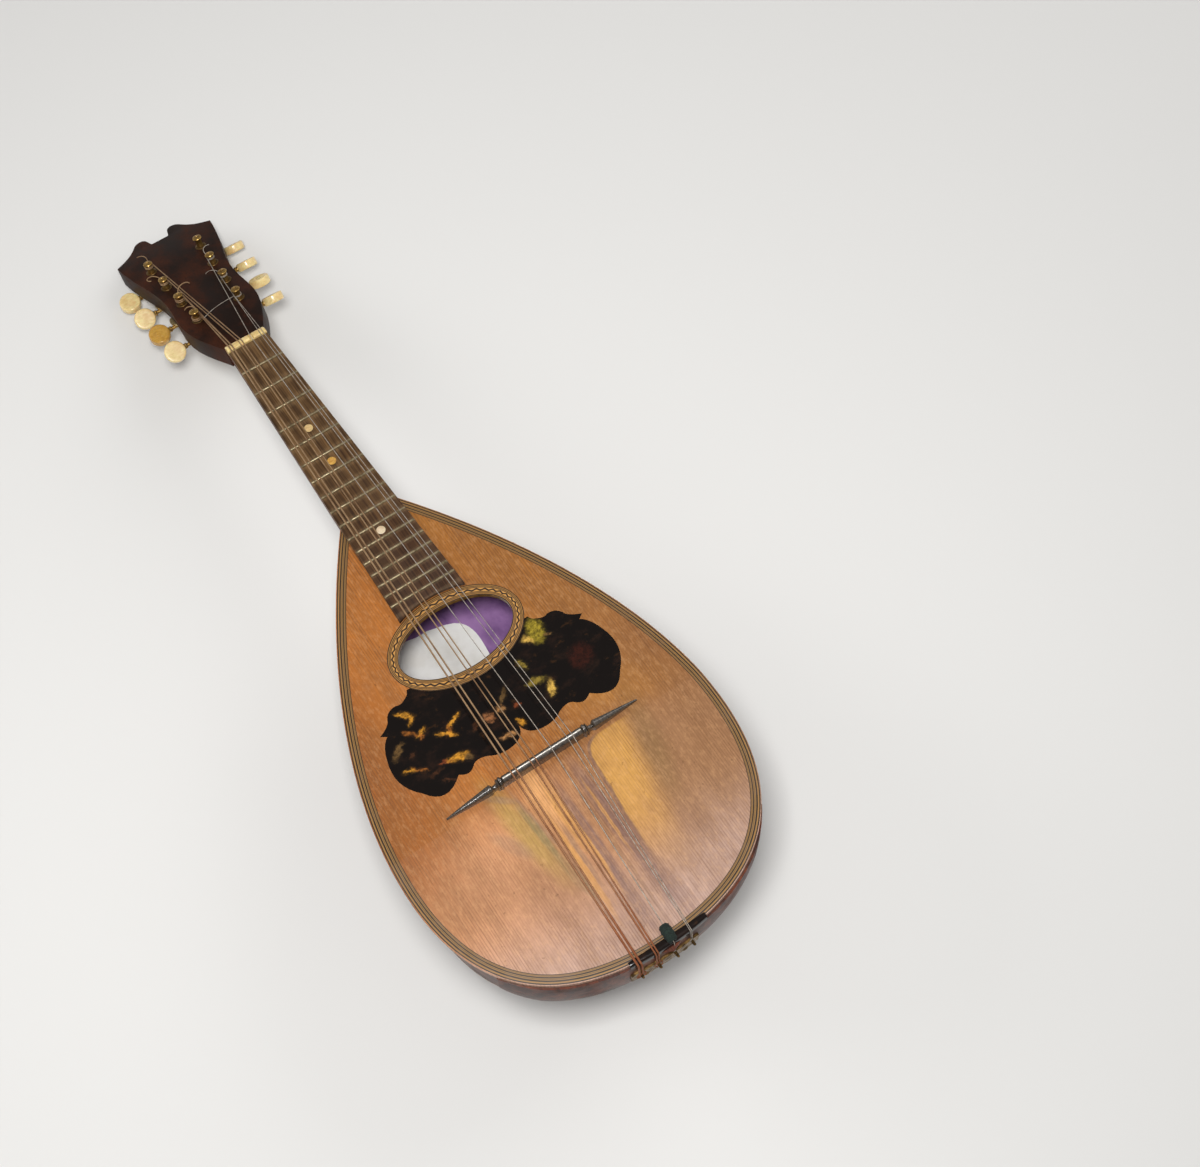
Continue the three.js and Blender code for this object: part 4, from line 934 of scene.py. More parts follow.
def build_purfling():
    edge_margin, band_reach, lift, sink = 0.5, 5.9, 0.09, 0.01
    loop = board_outline(60)
    sections, along = [], 0
    for i, p in enumerate(loop):
        ahead = (loop[min(i + 1, len(loop) - 1)] - loop[max(i - 1, 0)]).normalized()
        inward = Vector((ahead.y, -ahead.x))
        if inward.x * p.x > 0 or (abs(p.x) < 1 and inward.y < 0):
            inward = -inward
        if i:
            along += (p - loop[i - 1]).length
        near, far = p + inward * edge_margin, p + inward * band_reach
        level = [top_z - fold_drop(near.y), top_z - fold_drop(far.y)]
        sections.append(band_section(near, far, [z + lift for z in level], [z + sink for z in level], along))
    points, faces, uvs = ribbon(sections)
    make("edge_purfling", points, faces, PURFLING, uvs=uvs, sharp=60)


def build_rosette():
    waves, steps = 42, 252
    low, high = top_z - 2.6, top_z + 0.06
    sections = []
    for i in range(steps + 1):
        turn = math.pi / 2 + 2 * math.pi * i / steps
        near, far = ((half_x * math.cos(turn), -hole_from_nut + half_y * math.sin(turn)) for half_x, half_y in
                     ((hole_half_length, hole_half_height), (ring_half_length, ring_half_height)))
        sections.append(band_section(near, far, (high, high), (low, low), waves * i / steps))
    points, faces, uvs = ribbon(sections)
    make("rope_ring", points, faces, ROPE, "rosette", uvs=uvs, sharp=40)


def build_pickguard():
    flat_plate("guard_plate", guard_loop, [rosette_outline(0.05)], top_z - inlay_depth + 0.1,
               top_z + inlay_stand, GUARD, "pickguard")


# Fingerboard, frets, dots and nut
fret_wire_width = 1.6
fret_wire_height = 0.9
fret_inset = 0.15
dot_radius = 2.7
board_end_y = fret_y(fret_count) - board_overrun


def board_half_width(y):
    return nut_half_width + (board_end_half_width - nut_half_width) * y / fret_y(fret_count)


def build_fingerboard():
    end = board_half_width(board_end_y)
    loop = [(-nut_half_width, 0), (nut_half_width, 0), (end, board_end_y), (-end, board_end_y)]
    flat_plate("finger_board", loop, [rosette_outline(joint_gap)], rest_z, 0, FINGERBOARD, "fingerboard",
               bevel=(0.3, 2, 35))
    wires = []
    for number in range(1, fret_count + 1):
        y = fret_y(number)
        reach = board_half_width(y) - fret_inset
        rings = []
        for share, swell in ((-1, 0.35), (-0.975, 0.75), (-0.95, 1), (0.95, 1), (0.975, 0.75), (1, 0.35)):
            x = reach * share
            ring = [(x, y + fret_wire_width / 2 * math.cos(t), fret_wire_height * swell * math.sin(t))
                    for t in between(0, math.pi, 8)]
            rings.append(ring + [(x, y + side * fret_wire_width / 2, -0.5) for side in (-1, 1)])
        wires.append(lofted(rings))
    make("fret_wires", *merged(wires), FRET_METAL)
    for name, number, material in (("five", 5, BEIGE_DOT), ("seven", 7, AMBER_DOT), ("twelve", 12, PEARL)):
        ring = circle(dot_radius, dot_radius, 28, (0, (fret_y(number) + fret_y(number - 1)) / 2))
        make("dot_" + name, *lofted([[(*p, z) for p in ring] for z in (-0.8, 0.05)]), material)


# Course, place in its pair, side of the head and post of each string
string_places = {
    "string_G_outer": ("G", -1, -1, 0), "string_G_inner": ("G", 1, -1, 1),
    "string_D_outer": ("D", -1, -1, 2), "string_D_inner": ("D", 1, -1, 3),
    "string_A": ("A", 0, 1, 2), "string_E_inner": ("E", -1, 1, 1), "string_E_outer": ("E", 1, 1, 0)}
courses = ["G", "D", "A", "E"]
course_pitch_tail = 10.7
tail_centre_x = -3.5
pair_spread_nut = 1.9
pair_spread_bridge = 3.1
slot_depth = 1.1


def course_x(course, pitch, centre=0):
    return centre + (courses.index(course) - 1.5) * pitch


def tail_x(course):
    return course_x(course, course_pitch_tail, tail_centre_x)


def build_nut():
    slots = [course_x(course, course_pitch_nut) + place * pair_spread_nut / 2
             for course in courses for place in (-1, 1)]
    half = nut_half_width - 0.05
    xs = sorted({round(x, 3) for x in between(-half, half, 40)}
                | {round(s + d, 3) for s in slots for d in (-0.45, -0.25, 0.25, 0.45)})
    near_y, far_y, foot = 0.05, nut_length - 0.2, rest_z - 0.2

    def ring(x):
        dip = slot_depth if min(abs(x - s) for s in slots) < 0.3 else 0
        top = nut_height - (0.5 if abs(abs(x) - half) < 0.01 else 0)
        back = top - nut_back_drop
        side_view = [(near_y, foot), (near_y, top - 0.3 - dip), (0.35, top - dip),
                     (nut_length / 2, top - dip), (nut_length * 0.8, back + 0.5 - dip * 0.8),
                     (far_y, back - dip * 0.4), (far_y, foot)]
        return [(x, y, z) for y, z in side_view]

    make("bone_nut", *lofted([ring(x) for x in xs]), NUT_BONE, "nut")


# Neck and headstock
head_curve_shares = [
    (0.47, 0.06, 0.73, 0.16, 0.745, 0.275), (0.755, 0.36, 0.7, 0.41, 0.705, 0.47),
    (0.71, 0.62, 0.94, 0.72, 1, 0.895), (0.82, 0.915, 0.68, 0.925, 0.5, 0.98),
    (0.42, 1.008, 0.29, 1.008, 0.24, 0.99), (0.2, 0.975, 0.2, 0.945, 0.165, 0.943)]


def head_outline():
    here = Vector((nut_half_width, 0))
    right = [here]
    for row in head_curve_shares:
        pulls = [Vector((row[i] * head_half_width, row[i + 1] * head_length)) for i in (0, 2, 4)]
        right += [bezier(here, *pulls, t) for t in between(0, 1, 14)[1:]]
        here = pulls[-1]
    return right + mirrored(right)


def post_place(side, k):
    return (side * (first_post_x + k * post_pitch * math.sin(row_splay)),
            first_post_from_nut + k * post_pitch * math.cos(row_splay))


def build_neck():
    c, s = math.cos(head_pitch), math.sin(head_pitch)

    def ring(share):
        grip = neck_depth_nut + (neck_depth_mid - neck_depth_nut) * share
        depth = grip + (heel_depth - neck_depth_mid) * share ** 6 - board_thickness
        half = nut_half_width + (join_half_width - nut_half_width) * share
        points = []
        for angle in between(-math.pi / 2, math.pi / 2, 32):
            x, z = half * powered(math.sin(angle)), -depth * powered(math.cos(angle))
            end = nut_length + (z * s - 0.2) / c
            points.append((x, end + (body_start_y - end) * share, top_z + z))
        return points

    rings = [ring(share) for share in between(0, 1, 48)]
    make("neck_handle", *lofted(rings), ROSEWOOD, "neck", sharp=50)


def build_headstock():
    flat_plate("head_blank", head_outline(), [], -head_thickness, 0, HEAD_VENEER, "headstock",
               space=HEAD, bevel=(0.7, 3, 50))
    sides = 28
    profile = [(0.15, 0.02), (1.5, 0.02), (1.3, 0.45), (0.6, 0.7), (0.15, 0.7)]
    points, faces = turned([(post_radius + wider, height) for wider, height in profile], sides)
    walls = [f for f in faces if len(f) == 4]
    last = (len(profile) - 1) * sides
    walls += [(j, (j + 1) % sides, last + (j + 1) % sides, last + j) for j in range(sides)]
    rings = [shifted((points, walls), *post_place(side, k))
             for side in (-1, 1) for k in range(posts_per_side)]
    make("post_bushings", *merged(rings), SHADED_TARNISHED_BRASS, space=HEAD)


# Tuners, in the space of one row
plate_top_z = -head_thickness - joint_gap
plate_back_z = plate_top_z - plate_thickness
gear_top_z = plate_back_z - gear_stand
gear_back_z = gear_top_z - gear_thickness
worm_z = (gear_top_z + gear_back_z) / 2
gear_pitch = 2 * math.pi * gear_pitch_radius / gear_teeth
gear_addendum = 0.55
gear_dedendum = 0.75
post_cap_radius = 3.1
post_hole_radius = 2.6
shaft_radius = 1.2
lug_offset = 3.9
lug_width = 2.2
lug_length = 5.2
plate_half_width = 7.5
plate_end_margin = 9
plate_lobe = 3.4
screw_x = 4.6
thread_crest = 2.5
thread_core = 1.5
thread_half_length = 3.1
thread_half_width = 0.62
button_edge = 0.9


def row_space(side, y=0, z=0):
    """One tuner row's space: x out to the buttons, y towards the tip, z out of the head's face."""
    first_post = Matrix.Translation((first_post_x, first_post_from_nut, 0))
    row = HEAD @ Matrix.Diagonal((side, 1, 1, 1)) @ first_post @ Matrix.Rotation(-row_splay, 4, "Z")
    return row @ Matrix.Translation((0, y, z))


def build_plate(name, side):
    row = (posts_per_side - 1) * post_pitch
    first_y, last_y = -plate_end_margin, row + worm_axis_distance + plate_end_margin
    wide, tips = plate_half_width, plate_half_width / 2
    outline = [(-wide, first_y + tips), (-tips, first_y), (tips, first_y), (wide, first_y + tips)]
    for k in range(posts_per_side):
        middle = k * post_pitch + worm_axis_distance
        outline += [(wide + plate_lobe * math.cos(t), middle + lug_length * math.sin(t))
                    for t in between(-math.pi / 2, math.pi / 2, 14)]
    outline += [(wide, last_y - tips), (tips, last_y), (-tips, last_y), (-wide, last_y - tips)]
    holes = [circle(post_hole_radius, post_hole_radius, 24, (0, k * post_pitch))
             for k in range(posts_per_side)]
    flat_plate("row_plate_" + name, outline, holes, plate_back_z, plate_top_z, PALE_BRASS,
               "tuner_plate_" + name, space=row_space(side), bevel=(0.2, 2, 60))
    parts = []
    for k in range(posts_per_side):
        axis_y = k * post_pitch + worm_axis_distance
        for end in (-1, 1):
            middle = end * (lug_offset + lug_width / 2)
            half, foot = lug_length / 2, plate_back_z - worm_z + 0.3
            arch = [(half * math.cos(t), -half * math.sin(t)) for t in between(0, math.pi, 14)]
            side_view = [(half, foot), *arch, (-half, foot)]
            parts.append(lofted([[(middle + share * lug_width / 2, axis_y + y * size, worm_z + z * size)
                                  for y, z in side_view]
                                 for share, size in ((-1, 0.95), (-0.85, 1), (0.85, 1), (1, 0.95))]))
    screw = turned([(r, plate_back_z + z) for r, z in
                    ((0.01, -0.9), (1.0, -0.75), (1.55, -0.3), (1.6, 0.1))], 20)
    parts += [shifted(screw, 0, first_y + 3), shifted(screw, 0, last_y - 3)]
    parts += [shifted(screw, screw_x, 10 + post_pitch * (k + 0.5)) for k in range(posts_per_side - 1)]
    make("row_lugs_" + name, *merged(parts), PALE_BRASS, space=row_space(side))


def build_post(tag, side, k):
    riding = {"space": row_space(side, k * post_pitch), "body": "tuner_gear_" + tag}
    cap = [(post_cap_radius + wider, post_height - down) for wider, down in
           ((-0.1, 1.15), (0, 0.8), (-0.25, 0.35), (-1.0, 0.08))]
    profile = [(0.01, gear_top_z - 1), (post_radius, gear_top_z - 1), (post_radius, 1.2),
               (post_radius - 0.2, 2.0), (post_radius - 0.2, post_height - 1.9),
               (post_radius, post_height - 1.5), *cap,
               (0.9, post_height), (0.75, post_height - 0.25), (0.01, post_height - 0.3)]
    make("post_stem_" + tag, *turned(profile, 32), BRASS, "tuner_post_" + tag, **riding)
    root, tip = gear_pitch_radius - gear_dedendum, gear_pitch_radius + gear_addendum
    rising = [(root, 0.25), (root + 0.45, 0.215), (tip - 0.25, 0.15), (tip, 0.11)]
    flank = [(radius, -share) for radius, share in rising] + rising[::-1]

    def gear_ring(z, size):
        ring = []
        for i in range(gear_teeth):
            for radius, share in flank:
                turn = math.pi / 2 + (i + 0.5 + share) * 2 * math.pi / gear_teeth
                ring.append((radius * size * math.cos(turn), radius * size * math.sin(turn), z))
        return ring

    gear = lofted([gear_ring(z, size) for z, size in
                   ((gear_top_z, 0.96), (gear_top_z - 0.3, 1), (gear_back_z + 0.3, 1), (gear_back_z, 0.96))])
    head = turned([(r, gear_back_z + z) for r, z in
                   ((0.01, -1.0), (1.3, -1.05), (1.9, -0.8), (2.2, -0.4), (2.2, 0.1), (0.01, 0.1))], 28)
    make("post_wheel_" + tag, *merged([gear, head]), BRASS, **riding)


def worm_thread():
    """A helical thread along x that fades in and out at its ends."""
    per_turn = 24
    turns = 2 * (thread_half_length - thread_half_width) / gear_pitch
    rings = []
    for i in range(int(turns * per_turn) + 1):
        angle = 2 * math.pi * (i / per_turn - turns / 2)
        fade = min(1, 0.2 + i / 8, 0.2 + (turns * per_turn - i) / 8)
        top = thread_core + (thread_crest - thread_core) * fade
        rising = [(thread_core - 0.2, -thread_half_width), (thread_core + 0.1, -thread_half_width * 0.9),
                  (top, -0.16)]
        profile = rising + [(r, -along) for r, along in reversed(rising)]
        rings.append([(gear_pitch * angle / (2 * math.pi) + along, -r * math.cos(angle), -r * math.sin(angle))
                      for r, along in profile])
    return lofted(rings)


def build_key(tag, side, k, turn, bone):
    space = row_space(side, k * post_pitch + worm_axis_distance, worm_z)
    body = "tuner_key_" + tag
    reach, far_end = button_reach - button_radius, -lug_offset - lug_width - 0.3
    collar = [(r, reach + x) for r, x in
              ((shaft_radius, -2.2), (1.7, -1.9), (1.9, -1.2), (1.6, -0.6), (1.8, -0.1), (1.8, 0.3),
               (1.0, 0.4), (1.0, 4), (0.01, 4))]
    profile = [(0.01, far_end), (1.1, far_end), (shaft_radius, -6.0), (shaft_radius, -thread_half_length),
               (thread_core, -thread_half_length), (thread_core, thread_half_length),
               (shaft_radius, thread_half_length), *collar]
    points, faces = turned(profile, 24)
    rod = [(z, y, -x) for x, y, z in points], faces
    make("worm_rod_" + tag, *merged([worm_thread(), rod]), BRASS, "worm_shaft_" + tag, space=space, body=body)
    face = button_thickness / 2
    rounding = [(button_radius - button_edge * (1 - math.sin(t)), face - button_edge * (1 - math.cos(t)))
                for t in between(0, math.pi / 2, 5)]
    upper = [(0.01, face - 0.15), (button_radius * 0.6, face - 0.1), *rounding]
    lower = [(r, -z) for r, z in reversed(upper)]
    turned_space = (space @ Matrix.Translation((button_reach, 0, 0))
                    @ Matrix.Rotation(math.radians(turn), 4, "X"))
    make("bone_button_" + tag, *turned(upper + lower, 48), bone, "tuner_button_" + tag,
         space=turned_space, body=body, sharp=40)


def build_tuners():
    for name, side in (("bass", -1), ("treble", 1)):
        build_plate(name, side)
        for k, turn in enumerate(button_turns[name]):
            tag = f"{name}_{k + 1}"
            build_post(tag, side, k)
            build_key(tag, side, k, turn, AMBER_BONE if tag == "bass_2" else BONE)


# Bridge: how far along, how high and how thick
bridge_profile_shares = [
    (0, 0.94, 0.9), (0.2, 0.94, 0.9), (0.405, 0.94, 0.9), (0.412, 0.8, 0.8), (0.42, 0.96, 1.1),
    (0.432, 1, 1.2), (0.444, 0.96, 1.1), (0.45, 0.82, 0.85), (0.456, 0.96, 1.1), (0.466, 0.9, 1.05),
    (0.478, 0.55, 0.55), (0.495, 0.5, 0.5), (0.512, 0.52, 0.52), (0.522, 0.72, 0.8), (0.535, 0.8, 0.95),
    (0.6, 0.7, 0.84), (0.7, 0.55, 0.7), (0.8, 0.42, 0.52), (0.9, 0.28, 0.34), (0.96, 0.18, 0.22),
    (0.985, 0.12, 0.16)]
bridge_saddle_z = rest_z + bridge_height * bridge_profile_shares[0][1]


def build_bridge():
    def ring(x, height, thickness):
        arc = [(x, thickness / 2 * math.cos(t) - bridge_from_nut,
                rest_z + height - thickness / 2 * (1 - math.sin(t)) * min(1, height / thickness))
               for t in between(0, math.pi, 14)]
        return arc + [(x, share * thickness - bridge_from_nut, rest_z - 0.25) for share in (-0.46, 0.46)]

    rows = [(a * bridge_half_length, b * bridge_height, c * bridge_thickness)
            for a, b, c in bridge_profile_shares]
    rings = [ring(-a, b, c) for a, b, c in reversed(rows[1:])] + [ring(*row) for row in rows]
    make("bridge_bar", *lofted(rings), EBONY, "bridge", sharp=45)
    reach = 0.4 * bridge_half_length
    path = [(x, -bridge_from_nut, bridge_saddle_z - 0.35) for x in between(-reach, reach, 6)]
    make("bridge_wire", *swept(path, 0.6, 12)[:2], SADDLE_METAL)


# Bowl
rib_thickness = 1.8
rib_inset = 0.35
seam_half_width = 0.42
outer_shape = bowl_shape(-0.3)
seam_angles = [math.pi * (i / rib_count - 0.5) for i in range(rib_count + 1)]
front_curve, tail_curve = outline_curves(0)
rib_end_share = 0.985
clasp_thickness = 1
clasp_half_width = 84
clasp_drop_centre = 46
clasp_drop_side = 16
clasp_taper = 16


def bowl_stations():
    ys = [bezier(*front_curve, t).y for t in between(0, 1, 30)]
    ys += [bezier(*tail_curve, t).y for t in between(0, rib_end_share, 30)[1:]]
    ys[0] -= joint_gap
    return ys


def rib_row(shape, y, first, last):
    """A row across one stave, flat from seam to seam."""
    a, b = bowl_point(shape, y, first), bowl_point(shape, y, last)
    step = (b - a).normalized() * min(rib_inset, (b - a).length * 0.25)
    return [(a + step).lerp(b - step, t) for t in between(0, 1, 3)]


def seam_row(shape, y, angle):
    """A narrow row across the seam at an angle."""
    middle = bowl_point(shape, y, angle)
    across = bowl_point(shape, y, angle + 0.02) - bowl_point(shape, y, angle - 0.02)
    across = across.normalized() * seam_half_width
    return [middle - across, middle, middle + across]


def build_ribs():
    ys = bowl_stations()
    inner_ys = [max(y, -tail_from_nut + 1.4 * rib_thickness) for y in ys]
    skins = ((outer_shape, ys), (bowl_shape(-rib_thickness - 0.1), inner_ys))
    for i in range(rib_count):
        grids = [[rib_row(shape, y, *seam_angles[i:i + 2]) for y in rows] for shape, rows in skins]
        make(f"stave_{i + 1}", *sheeted(*grids), ROSEWOOD, f"bowl_rib_{i + 1}")
    strips = [sheeted(*([seam_row(shape, y, angle) for y in rows] for shape, rows in skins))
              for angle in seam_angles[1:-1]]
    make("seam_strips", *merged(strips), SEAM, sharp=60)


def tail_y(shape, x, z):
    """Where a bowl's skin stands at the tail, at a given x and height."""
    half, keel = shape

    def outside(y):
        wide = half(y) if y > -tail_from_nut - 3.9 else 0.001
        across = abs(x) / max(wide, 0.001)
        down = max(0, rim_z(y) - z) / max(rim_z(y) - keel(y), 0.001)
        return across ** bowl_roundness + down ** bowl_roundness > 1

    return halved(-tail_from_nut - 4, -widest_from_nut, outside)


def build_clasp():
    near, far = bowl_shape(0.05), bowl_shape(joint_gap + clasp_thickness - 0.1)
    rim = rim_z(-tail_from_nut)

    def column(shape, turn):
        x = clasp_half_width * math.sin(turn)
        thin = min(1, (clasp_half_width - abs(x)) / clasp_taper)
        low = rim - (clasp_drop_side + (clasp_drop_centre - clasp_drop_side) * math.cos(turn))
        top = rim_z(tail_y(shape, x, rim + 2)) + 0.2
        points = []
        for z in between(top, low, 14):
            under = tail_y(near, x, z)
            points.append((x, under + (tail_y(shape, x, z) - under) * (0.25 + 0.75 * thin), z))
        return points

    turns = between(-math.pi / 2, math.pi / 2, 40)
    grids = [[column(shape, turn) for turn in turns] for shape in (far, near)]
    make("tail_clasp", *sheeted(*grids), ROSEWOOD, "clasp")


# Tail pieces
rim_guard_half_width = 24
rim_guard_reach = 3.2
rim_guard_thickness = 1
hitch_half_width = 21
hitch_height = 13
hitch_drop = 9
hitch_thickness = 1
hitch_corner = 4
hook_radius = 1.1
hitch_offset = 2 * joint_gap + clasp_thickness
hitch_top_z = rim_z(-tail_from_nut) - hitch_drop
hook_z = hitch_top_z - hook_radius
hook_shape = bowl_shape(hitch_offset + hitch_thickness / 2)
felt_width = 6.4
felt_height = 3.4
felt_length = 10
felt_slot = 1.6


def guard_top_z(y):
    return top_z - fold_drop(y) + joint_gap + rim_guard_thickness


def build_rim_guard():
    window = -tail_from_nut + rim_guard_reach
    tails = [outline_curves(offset)[1] for offset in (joint_gap + 1, joint_gap)]
    rings = []
    for x in between(-rim_guard_half_width, rim_guard_half_width, 36):
        thick = 1 if abs(x) < rim_guard_half_width - 0.1 else 0.8
        far, near = (bezier(*tail, halved(0, 1, lambda t: bezier(*tail, t).x > abs(x))).y for tail in tails)
        top, under, end = top_z + joint_gap + thick, top_z + 0.05, top_z - top_thickness - joint_gap
        profile = [(window, under), (window, top - 0.5), (window - 0.5, top), (far + 1.0, top),
                   (far + 0.4, top - 0.25), (far + 0.1, top - 0.8), (far, top - 1.3), (far, end), (near, end),
                   (near, under)]
        rings.append([(x, y, z - fold_drop(y)) for y, z in profile])
    make("rim_guard", *lofted(rings), SHELL, "edge_guard", sharp=50)


def build_hitch():
    def place(shape, x, share):
        corner = max(0, abs(x) - hitch_half_width + hitch_corner) / hitch_corner
        trim = hitch_corner * (1 - math.sqrt(max(0, 1 - corner * corner)))
        z = hitch_top_z - trim * 0.3 - (hitch_height - trim * 0.6) * share
        return (x + tail_centre_x, tail_y(shape, x + tail_centre_x, z), z)

    face_shape = bowl_shape(hitch_offset + hitch_thickness - 0.1)
    xs = between(-hitch_half_width, hitch_half_width, 28)
    parts = [sheeted(*([[place(shape, x, share) for x in xs] for share in between(0, 1, 8)]
                       for shape in (face_shape, bowl_shape(joint_gap + clasp_thickness - 0.15))))]
    for course in courses:
        x = tail_x(course)
        start = tail_y(hook_shape, x, hook_z)
        path = [(x, start + out, hook_z + up) for out, up in
                ((0.4, -0.25), (-1.2, -0.25), (-2.4, -0.1), (-3.1, 0.25), (-3.45, 0.85))]
        parts.append(swept(path, [0.85, 0.85, 0.85, 0.8, 0.6], 12)[:2])
    screw, faces = turned([(0.01, -0.3), (1.9, -0.3), (1.9, 0.15), (1.2, 0.6), (0.01, 0.7)], 20)
    for x in (tail_centre_x - 12, tail_centre_x + 12):
        z = hitch_top_z - hitch_height * 0.72
        y = tail_y(face_shape, x, z)
        parts.append(([(p[0] + x, y - p[2], z + p[1]) for p in screw], faces))
    # The hitch plate's darker brass is partly painted shade.
    make("hitch_sheet", *merged(parts), SHADED_TARNISHED_BRASS, "hitch_plate", sharp=50)


def build_felt():
    """A pinch of felt under the third course, crowned and rounded, with a groove for the string."""
    start = -tail_from_nut - 1
    groove = felt_slot / 2
    rings = []
    for i, turn in enumerate(between(-math.pi / 2, math.pi / 2, 20)):
        y = start + felt_length / 2 * (1 + math.sin(turn))
        round_end = 0.45 + 0.55 * math.cos(turn) ** 0.5
        tall = felt_height * (0.5 + 0.5 * round_end)
        half = max(felt_width / 2 * round_end * (1 + 0.05 * math.sin(i * 1.7)), felt_slot)
        base = guard_top_z(start) + joint_gap * 0.4 + (y - start) * math.sin(fold_angle)
        profile = [(-half * 0.9, 0), (-groove, 0), (-groove, felt_height * 0.45),
                   (groove, felt_height * 0.45), (groove, 0), (half * 0.9, 0)]
        for j, angle in enumerate(between(0, math.pi, 14)):
            lump = 1 + 0.04 * math.sin(i * 2.3 + j * 1.9)
            across = half * powered(math.cos(angle)) * lump if 0 < j < 14 else half * math.cos(angle)
            profile.append((across, tall * (0.3 + 0.7 * powered(math.sin(angle))) * lump))
        rings.append([(tail_x("A") + x, y, base + z) for x, z in profile])
    make("felt_lump", *lofted(rings), FELT, "tail_felt", sharp=80)


# Strings
coil_reach = post_radius + 0.3
bridge_notch_gap = 0.15
nut_slot_sink = 0.3
wrap_start_y = -434
wrap_share = 1.25
loop_margin = 1.25


def string_path(course, place, side, post):
    """A string from below its hook over the edge, the bridge and the nut to its post's coils."""
    diameter = string_diameters[course]
    radius = diameter / 2
    at_nut = course_x(course, course_pitch_nut) + place * pair_spread_nut / 2
    at_bridge = course_x(course, course_pitch_bridge) + place * pair_spread_bridge / 2
    at_tail = tail_x(course) + place * diameter
    outside = -tail_from_nut - 2 * joint_gap - clasp_thickness - radius
    end_z = hook_z + hook_radius + joint_gap
    over_edge = guard_top_z(-tail_from_nut) + joint_gap + radius
    path = [(at_tail, outside, end_z - 0.8), (at_tail, outside, end_z + 2), (at_tail, outside, over_edge - 3),
            (at_tail, outside + 0.1, over_edge - 1.2), (at_tail, outside + 0.7, over_edge - 0.35),
            (at_tail, -tail_from_nut - joint_gap - 1, over_edge)]
    bridge_z, nut_z = bridge_saddle_z + radius + bridge_notch_gap, nut_height + radius - nut_slot_sink
    legs = [(at_bridge, -bridge_from_nut - 1.2, bridge_z, (0.06, 0.12, 0.18, 0.3, 0.5, 0.75, 1)),
            (at_bridge, -bridge_from_nut + 1.2, bridge_z, (1,)),
            (at_nut, joint_gap, nut_z, (0.25, 0.5, 0.75, 1)), (at_nut, nut_length / 2, nut_z, (1,))]
    for *target, shares in legs:
        start = Vector(path[-1])
        path += [start.lerp(Vector(target), share) for share in shares]
    centre = post_place(side, post)
    coil_radius = post_radius + radius - 0.15
    pitch, steps = diameter + 0.15, 24
    for i in range(int(coil_turns * steps) + 1):
        angle = 2 * math.pi * i / steps
        path.append(HEAD @ Vector((centre[0] - side * coil_radius * math.cos(angle),
                                   centre[1] + coil_radius * math.sin(angle),
                                   coil_top_heights[post] - pitch * i / steps)))
    return path


def build_strings():
    for name, (course, place, side, post) in string_places.items():
        wound = course in ("G", "D")
        material = BRONZE if wound else STEEL
        radius = string_diameters[course] / 2
        path = string_path(course, place, side, post)
        radii = [radius * (wrap_share if wound and p[1] < wrap_start_y else 1) for p in path]
        points, faces, uvs = swept(path, radii, 10)
        make("course_" + name, points, faces, material, name, uvs=uvs, sharp=70)
        loop_radius = loop_margin + radius
        x, outside = path[0][:2]
        reach = tail_y(hook_shape, tail_x(course), hook_z) - 1.5 - (0.6 if place > 0 else 0)
        loop = [(x + loop_radius * math.cos(t), outside + (reach - outside) * 0.3 * (1 - math.sin(t)),
                 hook_z - 0.25 + loop_radius * math.sin(t))
                for t in between(0.5 * math.pi, 2.5 * math.pi, 24)]
        points, faces, uvs = swept(loop, radius * 0.8, 8)
        make("loop_" + name, points, faces, material, uvs=uvs, sharp=70)


# Spare ends: row, post, heading, length, lift and curl, radius
spare_ends = [
    ("bass", 0, 60, 13, 2.0, 190, 0.4), ("bass", 1, 75, 15, 2.5, -170, 0.4),
    ("bass", 2, 100, 16, 3.0, 260, 0.32), ("bass", 3, 70, 12, 2.0, 120, 0.32),
    ("treble", 2, 110, 12, 2.0, -150, 0.22), ("treble", 1, 110, 11, 2.0, 120, 0.2),
    ("treble", 0, 196, 26, 2.4, 12, 0.2)]


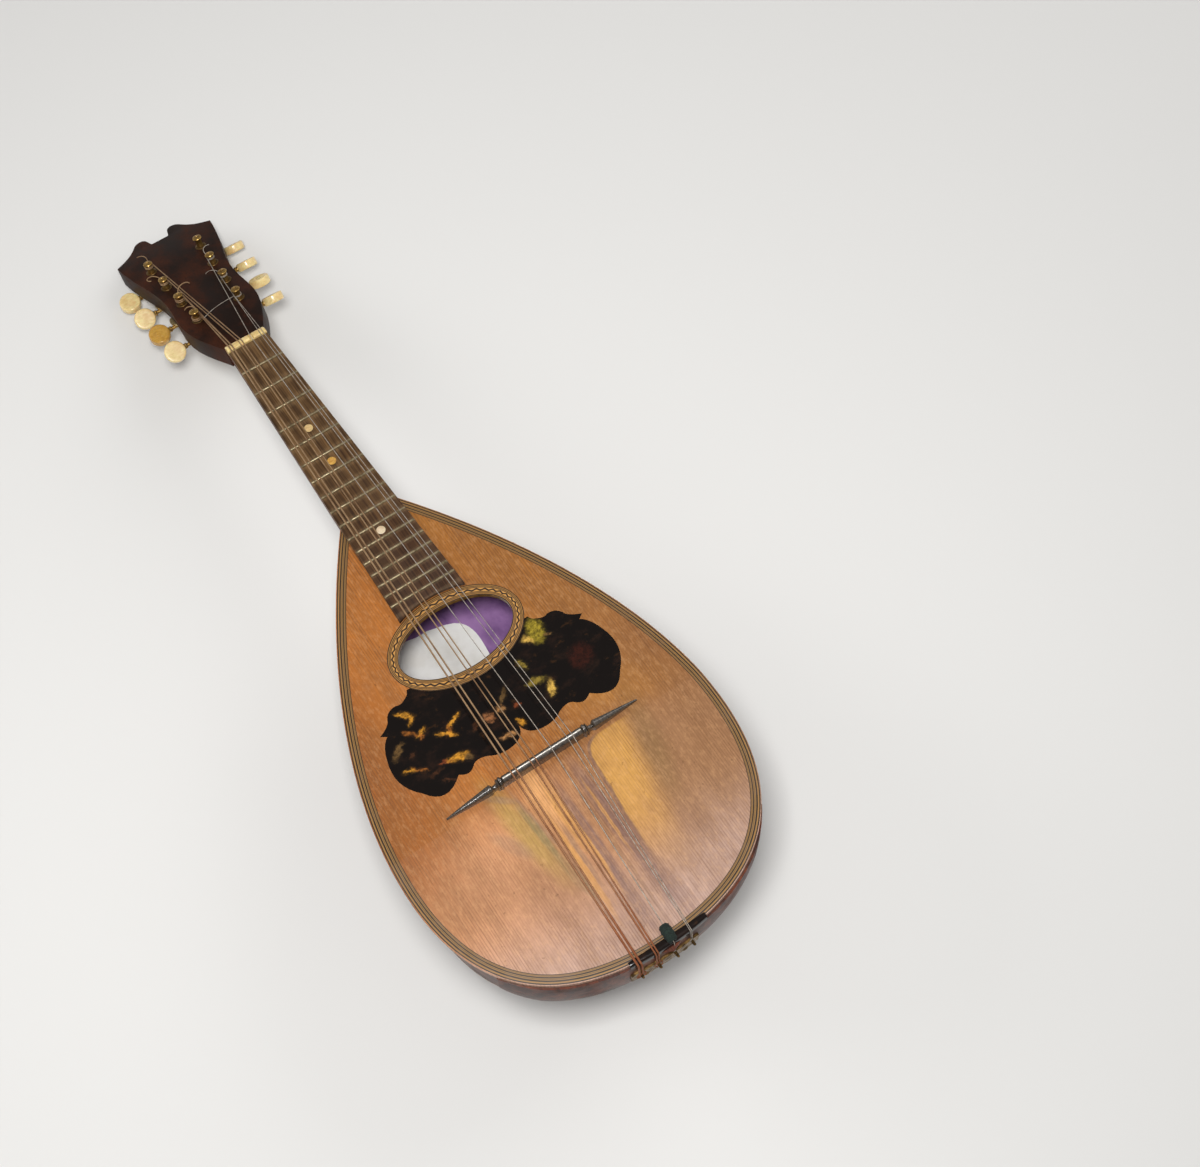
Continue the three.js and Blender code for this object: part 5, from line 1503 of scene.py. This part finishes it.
def build_spare_ends():
    """Each goes from its post's top coil outwards on the head, and curls."""
    steps = 26
    for row, post, heading, length, lift, curl, radius in spare_ends:
        turn = math.radians(heading)
        x, y = post_place(-1 if row == "bass" else 1, post)
        x += coil_reach * math.cos(turn)
        y += coil_reach * math.sin(turn)
        path = []
        for share in between(0, 1, steps):
            height = coil_top_heights[post] + lift * math.sin(share * math.pi * 0.62)
            path.append(HEAD @ Vector((x, y, height)))
            x += length / steps * math.cos(turn)
            y += length / steps * math.sin(turn)
            turn += math.radians(curl) / steps * (0.4 + 1.2 * share)
        points, faces, uvs = swept(path, radius, 8)
        material = BRONZE if row == "bass" else STEEL
        make(f"spare_end_{row}_{post + 1}", points, faces, material, uvs=uvs, sharp=70)


# Paper inside the bowl
lining_thickness = 0.4
lining_start = body_start_y - 32 - 3 * joint_gap
lining_end = bezier(*tail_curve, 0.93).y + 16 + joint_gap
lining_inside = bowl_shape(-rib_thickness - 1.5 * joint_gap - lining_thickness)
lining_outside = bowl_shape(-rib_thickness - 0.5 * joint_gap)
label_x = -14
label_from_nut = 226
label_half_width = 37
label_half_height = 25


def flat_ring(shape, y):
    ring = [bowl_point(shape, y, angle) for angle in seam_angles]
    ring[0] = ring[0].lerp(ring[1], 0.1)
    ring[-1] = ring[-1].lerp(ring[-2], 0.1)
    return ring


def build_lining():
    ys = [lining_start] + [y for y in bowl_stations() if lining_end < y < lining_start] + [lining_end]
    grids = [[flat_ring(shape, y) for y in ys] for shape in (lining_outside, lining_inside)]
    make("lining_paper", *sheeted(*grids), PAPER, "paper_lining", sharp=12)


def lining_floor(x, y):
    ring = flat_ring(lining_inside, y)
    a, b = next((a, b) for a, b in zip(ring, ring[1:]) if x <= b.x)
    return a.z + (b.z - a.z) * (x - a.x) / (b.x - a.x)


def build_label():
    def row(share, lift):
        reach = label_half_width * (1 - abs(share) ** 3) ** (1 / 3)
        y = -label_from_nut + label_half_height * share
        return [(x, y, lining_floor(x, y) + lift) for x in between(label_x - reach, label_x + reach, 24)]

    grids = [[row(share, lift) for share in between(-0.99, 0.99, 24)] for lift in (0.35, 0.1)]
    make("paper_label", *sheeted(*grids), LABEL, "label", sharp=60)


def dress_nodes():
    """The wood blocks and braces keep the shape they have, with a wood finish."""
    for name in ("neck_block", "tail_block", "brace_above_hole", "brace_below_hole"):
        for material_slot in frame["nodes"][name].material_slots:
            material_slot.material = BLOCKWOOD


add_camera()
add_stage()
build_soundboard()
build_purfling()
build_rosette()
build_pickguard()
build_fingerboard()
build_nut()
build_neck()
build_headstock()
build_tuners()
build_bridge()
build_ribs()
build_clasp()
build_rim_guard()
build_hitch()
build_felt()
build_strings()
build_spare_ends()
build_lining()
build_label()
dress_nodes()
